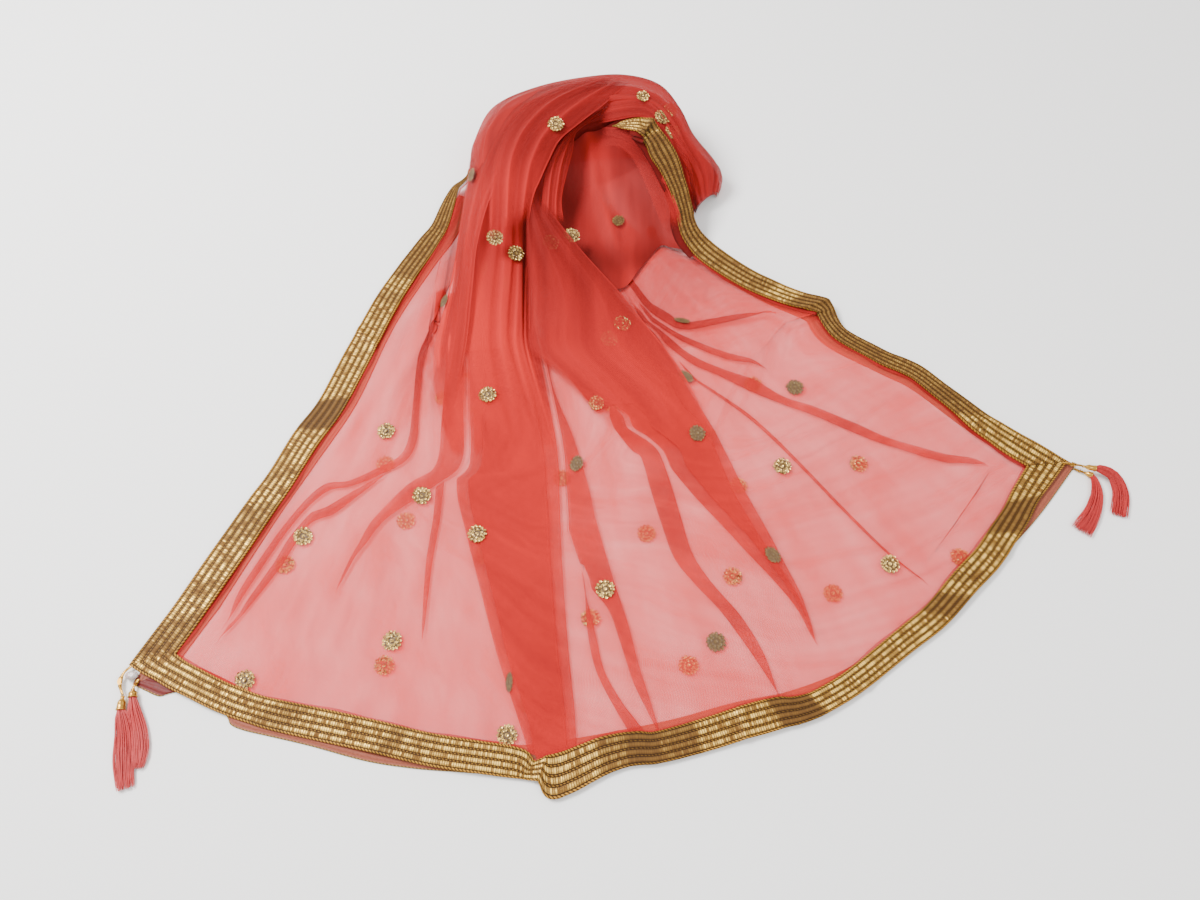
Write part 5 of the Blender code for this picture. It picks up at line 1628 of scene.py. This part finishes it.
# ---- pieces ------------------------------------------------------------------------------
lower_left = Border(LOWER_LEFT_EDGE, False, True)
lower_hem = Border(LOWER_HEM_EDGE, True, True)
lower_right = Border(LOWER_RIGHT_EDGE, True, False)
upper_left = Border(LEFT_EDGE, False, True)
upper_hem = Border(HEM_EDGE, True, True, HEM_FOLD)
upper_right = Border(RIGHT_EDGE, True, False)
for before, after in ((lower_left, lower_hem), (lower_hem, lower_right),
                      (upper_left, upper_hem), (upper_hem, upper_right)):
    before.mitred_to(after)
lower_fan = Fan(lower_left, lower_hem, lower_right, LOWER_NECK)
fan_end = (upper_right.outer.share_of_row(FAN_END_ON_RIGHT) - upper_right.first) / (1.0 - upper_right.first)
upper_fan = Fan(upper_left, upper_hem, upper_right, UPPER_NECK, fan_end)
upper_fan.sample()

tulle = tulle_group()
coral = net_material("coral_net", tulle, NET_COVER)
seam_shadow_coral = net_material("coral_net_seam_shadow", tulle, SEAM_COVER)
gold_cloth = border_material()
gold_back = border_back_material()
gold_metal = metal_material("gold_metal", ((0.34, 0.16, 0.025), (0.75, 0.42, 0.08)), 0.2)
sequin_gold = sequin_material()
gold_thread = metal_material("gold_thread", ((0.20, 0.09, 0.012), (0.75, 0.42, 0.08)), 0.35)
thread = thread_material()
bead = bead_material()

lower = lower_net(lower_fan)
finish_piece(lower, coral, ["net_lower"])
upper = upper_net(upper_fan)
finish_piece(upper, coral, ["net_upper"])

drop = joined("drop_net", [heap_cloth("drop_cloth", 0, DROP_END_ROW, 150),
                           heap_core("drop_core", 2, DROP_END_ROW, 60)])
finish_piece(drop, coral, ["net_drop"])
crown_end = len(HEAP_SECTIONS) - 1
crown = joined("crown_net", [heap_cloth("crown_cloth", DROP_END_ROW, crown_end, 190),
                             heap_core("crown_core", DROP_END_ROW, crown_end, 90)])
finish_piece(crown, coral, ["net_crown"])
hollow = hollow_cloth()
finish_piece(hollow, coral, ["net_hollow"])
veils = joined("heap_veils", [veil("veil_" + name, *settings, 0.7 * number)
                              for number, (name, settings) in enumerate(VEILS.items())])
finish_piece(veils, coral, [])

climb_tree = solid_tree(["net_drop", "net_crown", "net_hollow"])
# columns: name, border, height, phase and tilt of its waves, its creases and darker stretches, node, what
# it climbs, taper
for name, border, base, waves, marks, node, tree, taper in (
        ("left_lower", lower_left, LOWER_BORDER_Z, (0.4, 0.1), "none", "left_lower", None, 0.0),
        ("hem_lower", lower_hem, LOWER_BORDER_Z, (1.3, 0.1), "lower_hem", "hem_lower", None, 0.0),
        ("right_lower", lower_right, LOWER_BORDER_Z, (2.2, 0.1), "none", "right_lower", None, 0.0),
        ("left", upper_left, UPPER_BORDER_Z, (0.9, 0.8), "left", "left_upper", None, 0.0),
        ("hem", upper_hem, UPPER_BORDER_Z, (2.6, 0.8), "hem", "hem_upper", None, 0.0),
        ("right", upper_right, UPPER_BORDER_Z, (4.1, 0.8), "right", "right_upper", climb_tree, 12.0)):
    strip = border_strip("gold_border_" + name, border, base, waves, marks, tree, taper)
    finish_piece(strip, gold_back if base == LOWER_BORDER_Z else gold_cloth,
                 ["border_" + node])

# dense turned-in edges of the net, with the borders' painted shadow
seam_z = UPPER_BORDER_Z - 0.2
seams_and_shadows = joined("border_seams_and_shadows", [
    seam_shadow_strip("seam_shadow_left", upper_left, seam_z, 2.4, 2.2),
    seam_shadow_strip("seam_shadow_hem", upper_hem, seam_z, 1.4, 1.2),
    seam_shadow_strip("seam_shadow_right", upper_right, seam_z, 2.6, 2.4, end=fan_end),
    seam_shadow_strip("seam_shadow_climb", upper_right, UPPER_BORDER_Z, 7.0, 5.5, fan_end, 0.97, climb_tree),
])
finish_piece(seams_and_shadows, seam_shadow_coral, [])

graph = bpy.context.evaluated_depsgraph_get()
fan_trees = [BVHTree.FromObject(piece, graph) for piece in (upper, drop)]
lower_trees = [BVHTree.FromObject(lower, graph)]
heap_trees = [BVHTree.FromObject(piece, graph) for piece in (drop, crown, hollow, veils)]
# the fronts of the lower, covered and deep rosettes take thread tone as painted shade
for name, table, trees, rise, dull, seed in (
        ("rosettes_upper", UPPER_ROSETTES, fan_trees, ROSETTE_RISE, (0.0, 0.9), 5),
        ("rosettes_lower", LOWER_ROSETTES, lower_trees, ROSETTE_RISE, (0.25, 0.5), 6),
        ("rosettes_heap", HEAP_ROSETTES, heap_trees, ROSETTE_RISE, (0.0, 0.85), 7),
        ("rosettes_covered", COVERED_ROSETTES, heap_trees, -COVER, (0.2, 0.5), 8),
        ("rosettes_deep", DEEP_ROSETTES, heap_trees, -DEEP_COVER, (0.3, 0.5), 9)):
    places = []
    for row in table:
        x, y, turn, side, squeeze = (*row, *AS_SEWN[len(row) - 2:])
        z, normal = top_of(trees, x, y)
        places.append((x, y, z + rise, normal, turn, side, squeeze))
    finish_piece(rosettes(name, places, seed, dull), sequin_gold, [])

for number, (name, table) in enumerate(TASSELS.items()):
    finish_piece(tassel_threads("threads_" + name, table, 20 + number), thread,
                 ["tassel_threads_" + name])
    finish_piece(tassel_cap("cap_" + name, table), gold_metal, ["tassel_cap_" + name])
    finish_piece(tassel_cord("cord_" + name, CORDS[name]), gold_thread,
                 ["tassel_cord_" + name])
finish_piece(corner_bead(), bead, ["corner_bead_left"])

# ---- stage -------------------------------------------------------------------------------
floor_shape = bmesh.new()
bmesh.ops.create_grid(floor_shape, x_segments=1, y_segments=1, size=6.0)
floor = object_of("floor", floor_shape)
floor_material, _, floor_shader = plain_material("pale_floor")
floor_shader.inputs["Base Color"].default_value = (0.93, 0.92, 0.91, 1.0)
floor_shader.inputs["Roughness"].default_value = 0.9
floor.data.materials.append(floor_material)

world = bpy.data.worlds.new("studio")
bpy.context.scene.world = world
world.use_nodes = True
world.node_tree.nodes["Background"].inputs[0].default_value = (1.0, 0.99, 0.98, 1.0)
world.node_tree.nodes["Background"].inputs[1].default_value = 1.25

area_light("key", (-1.3, 0.5, 1.7), (0.0, 0.0, 0.0), (0.9, 0.7), 92)
area_light("fill", (1.4, -1.1, 1.9), (0.0, 0.1, 0.0), (1.4, 1.2), 20)

camera_data = bpy.data.cameras.new("camera")
camera_data.lens = CAMERA_LENS
camera_data.sensor_width = 36.0
camera = bpy.data.objects.new("camera", camera_data)
camera.location = placed((*CAMERA_FOOT, CAMERA_HEIGHT))
camera.rotation_euler = (math.radians(90.0 - CAMERA_DOWN), 0.0, 0.0)
bpy.context.scene.collection.objects.link(camera)
bpy.context.scene.camera = camera
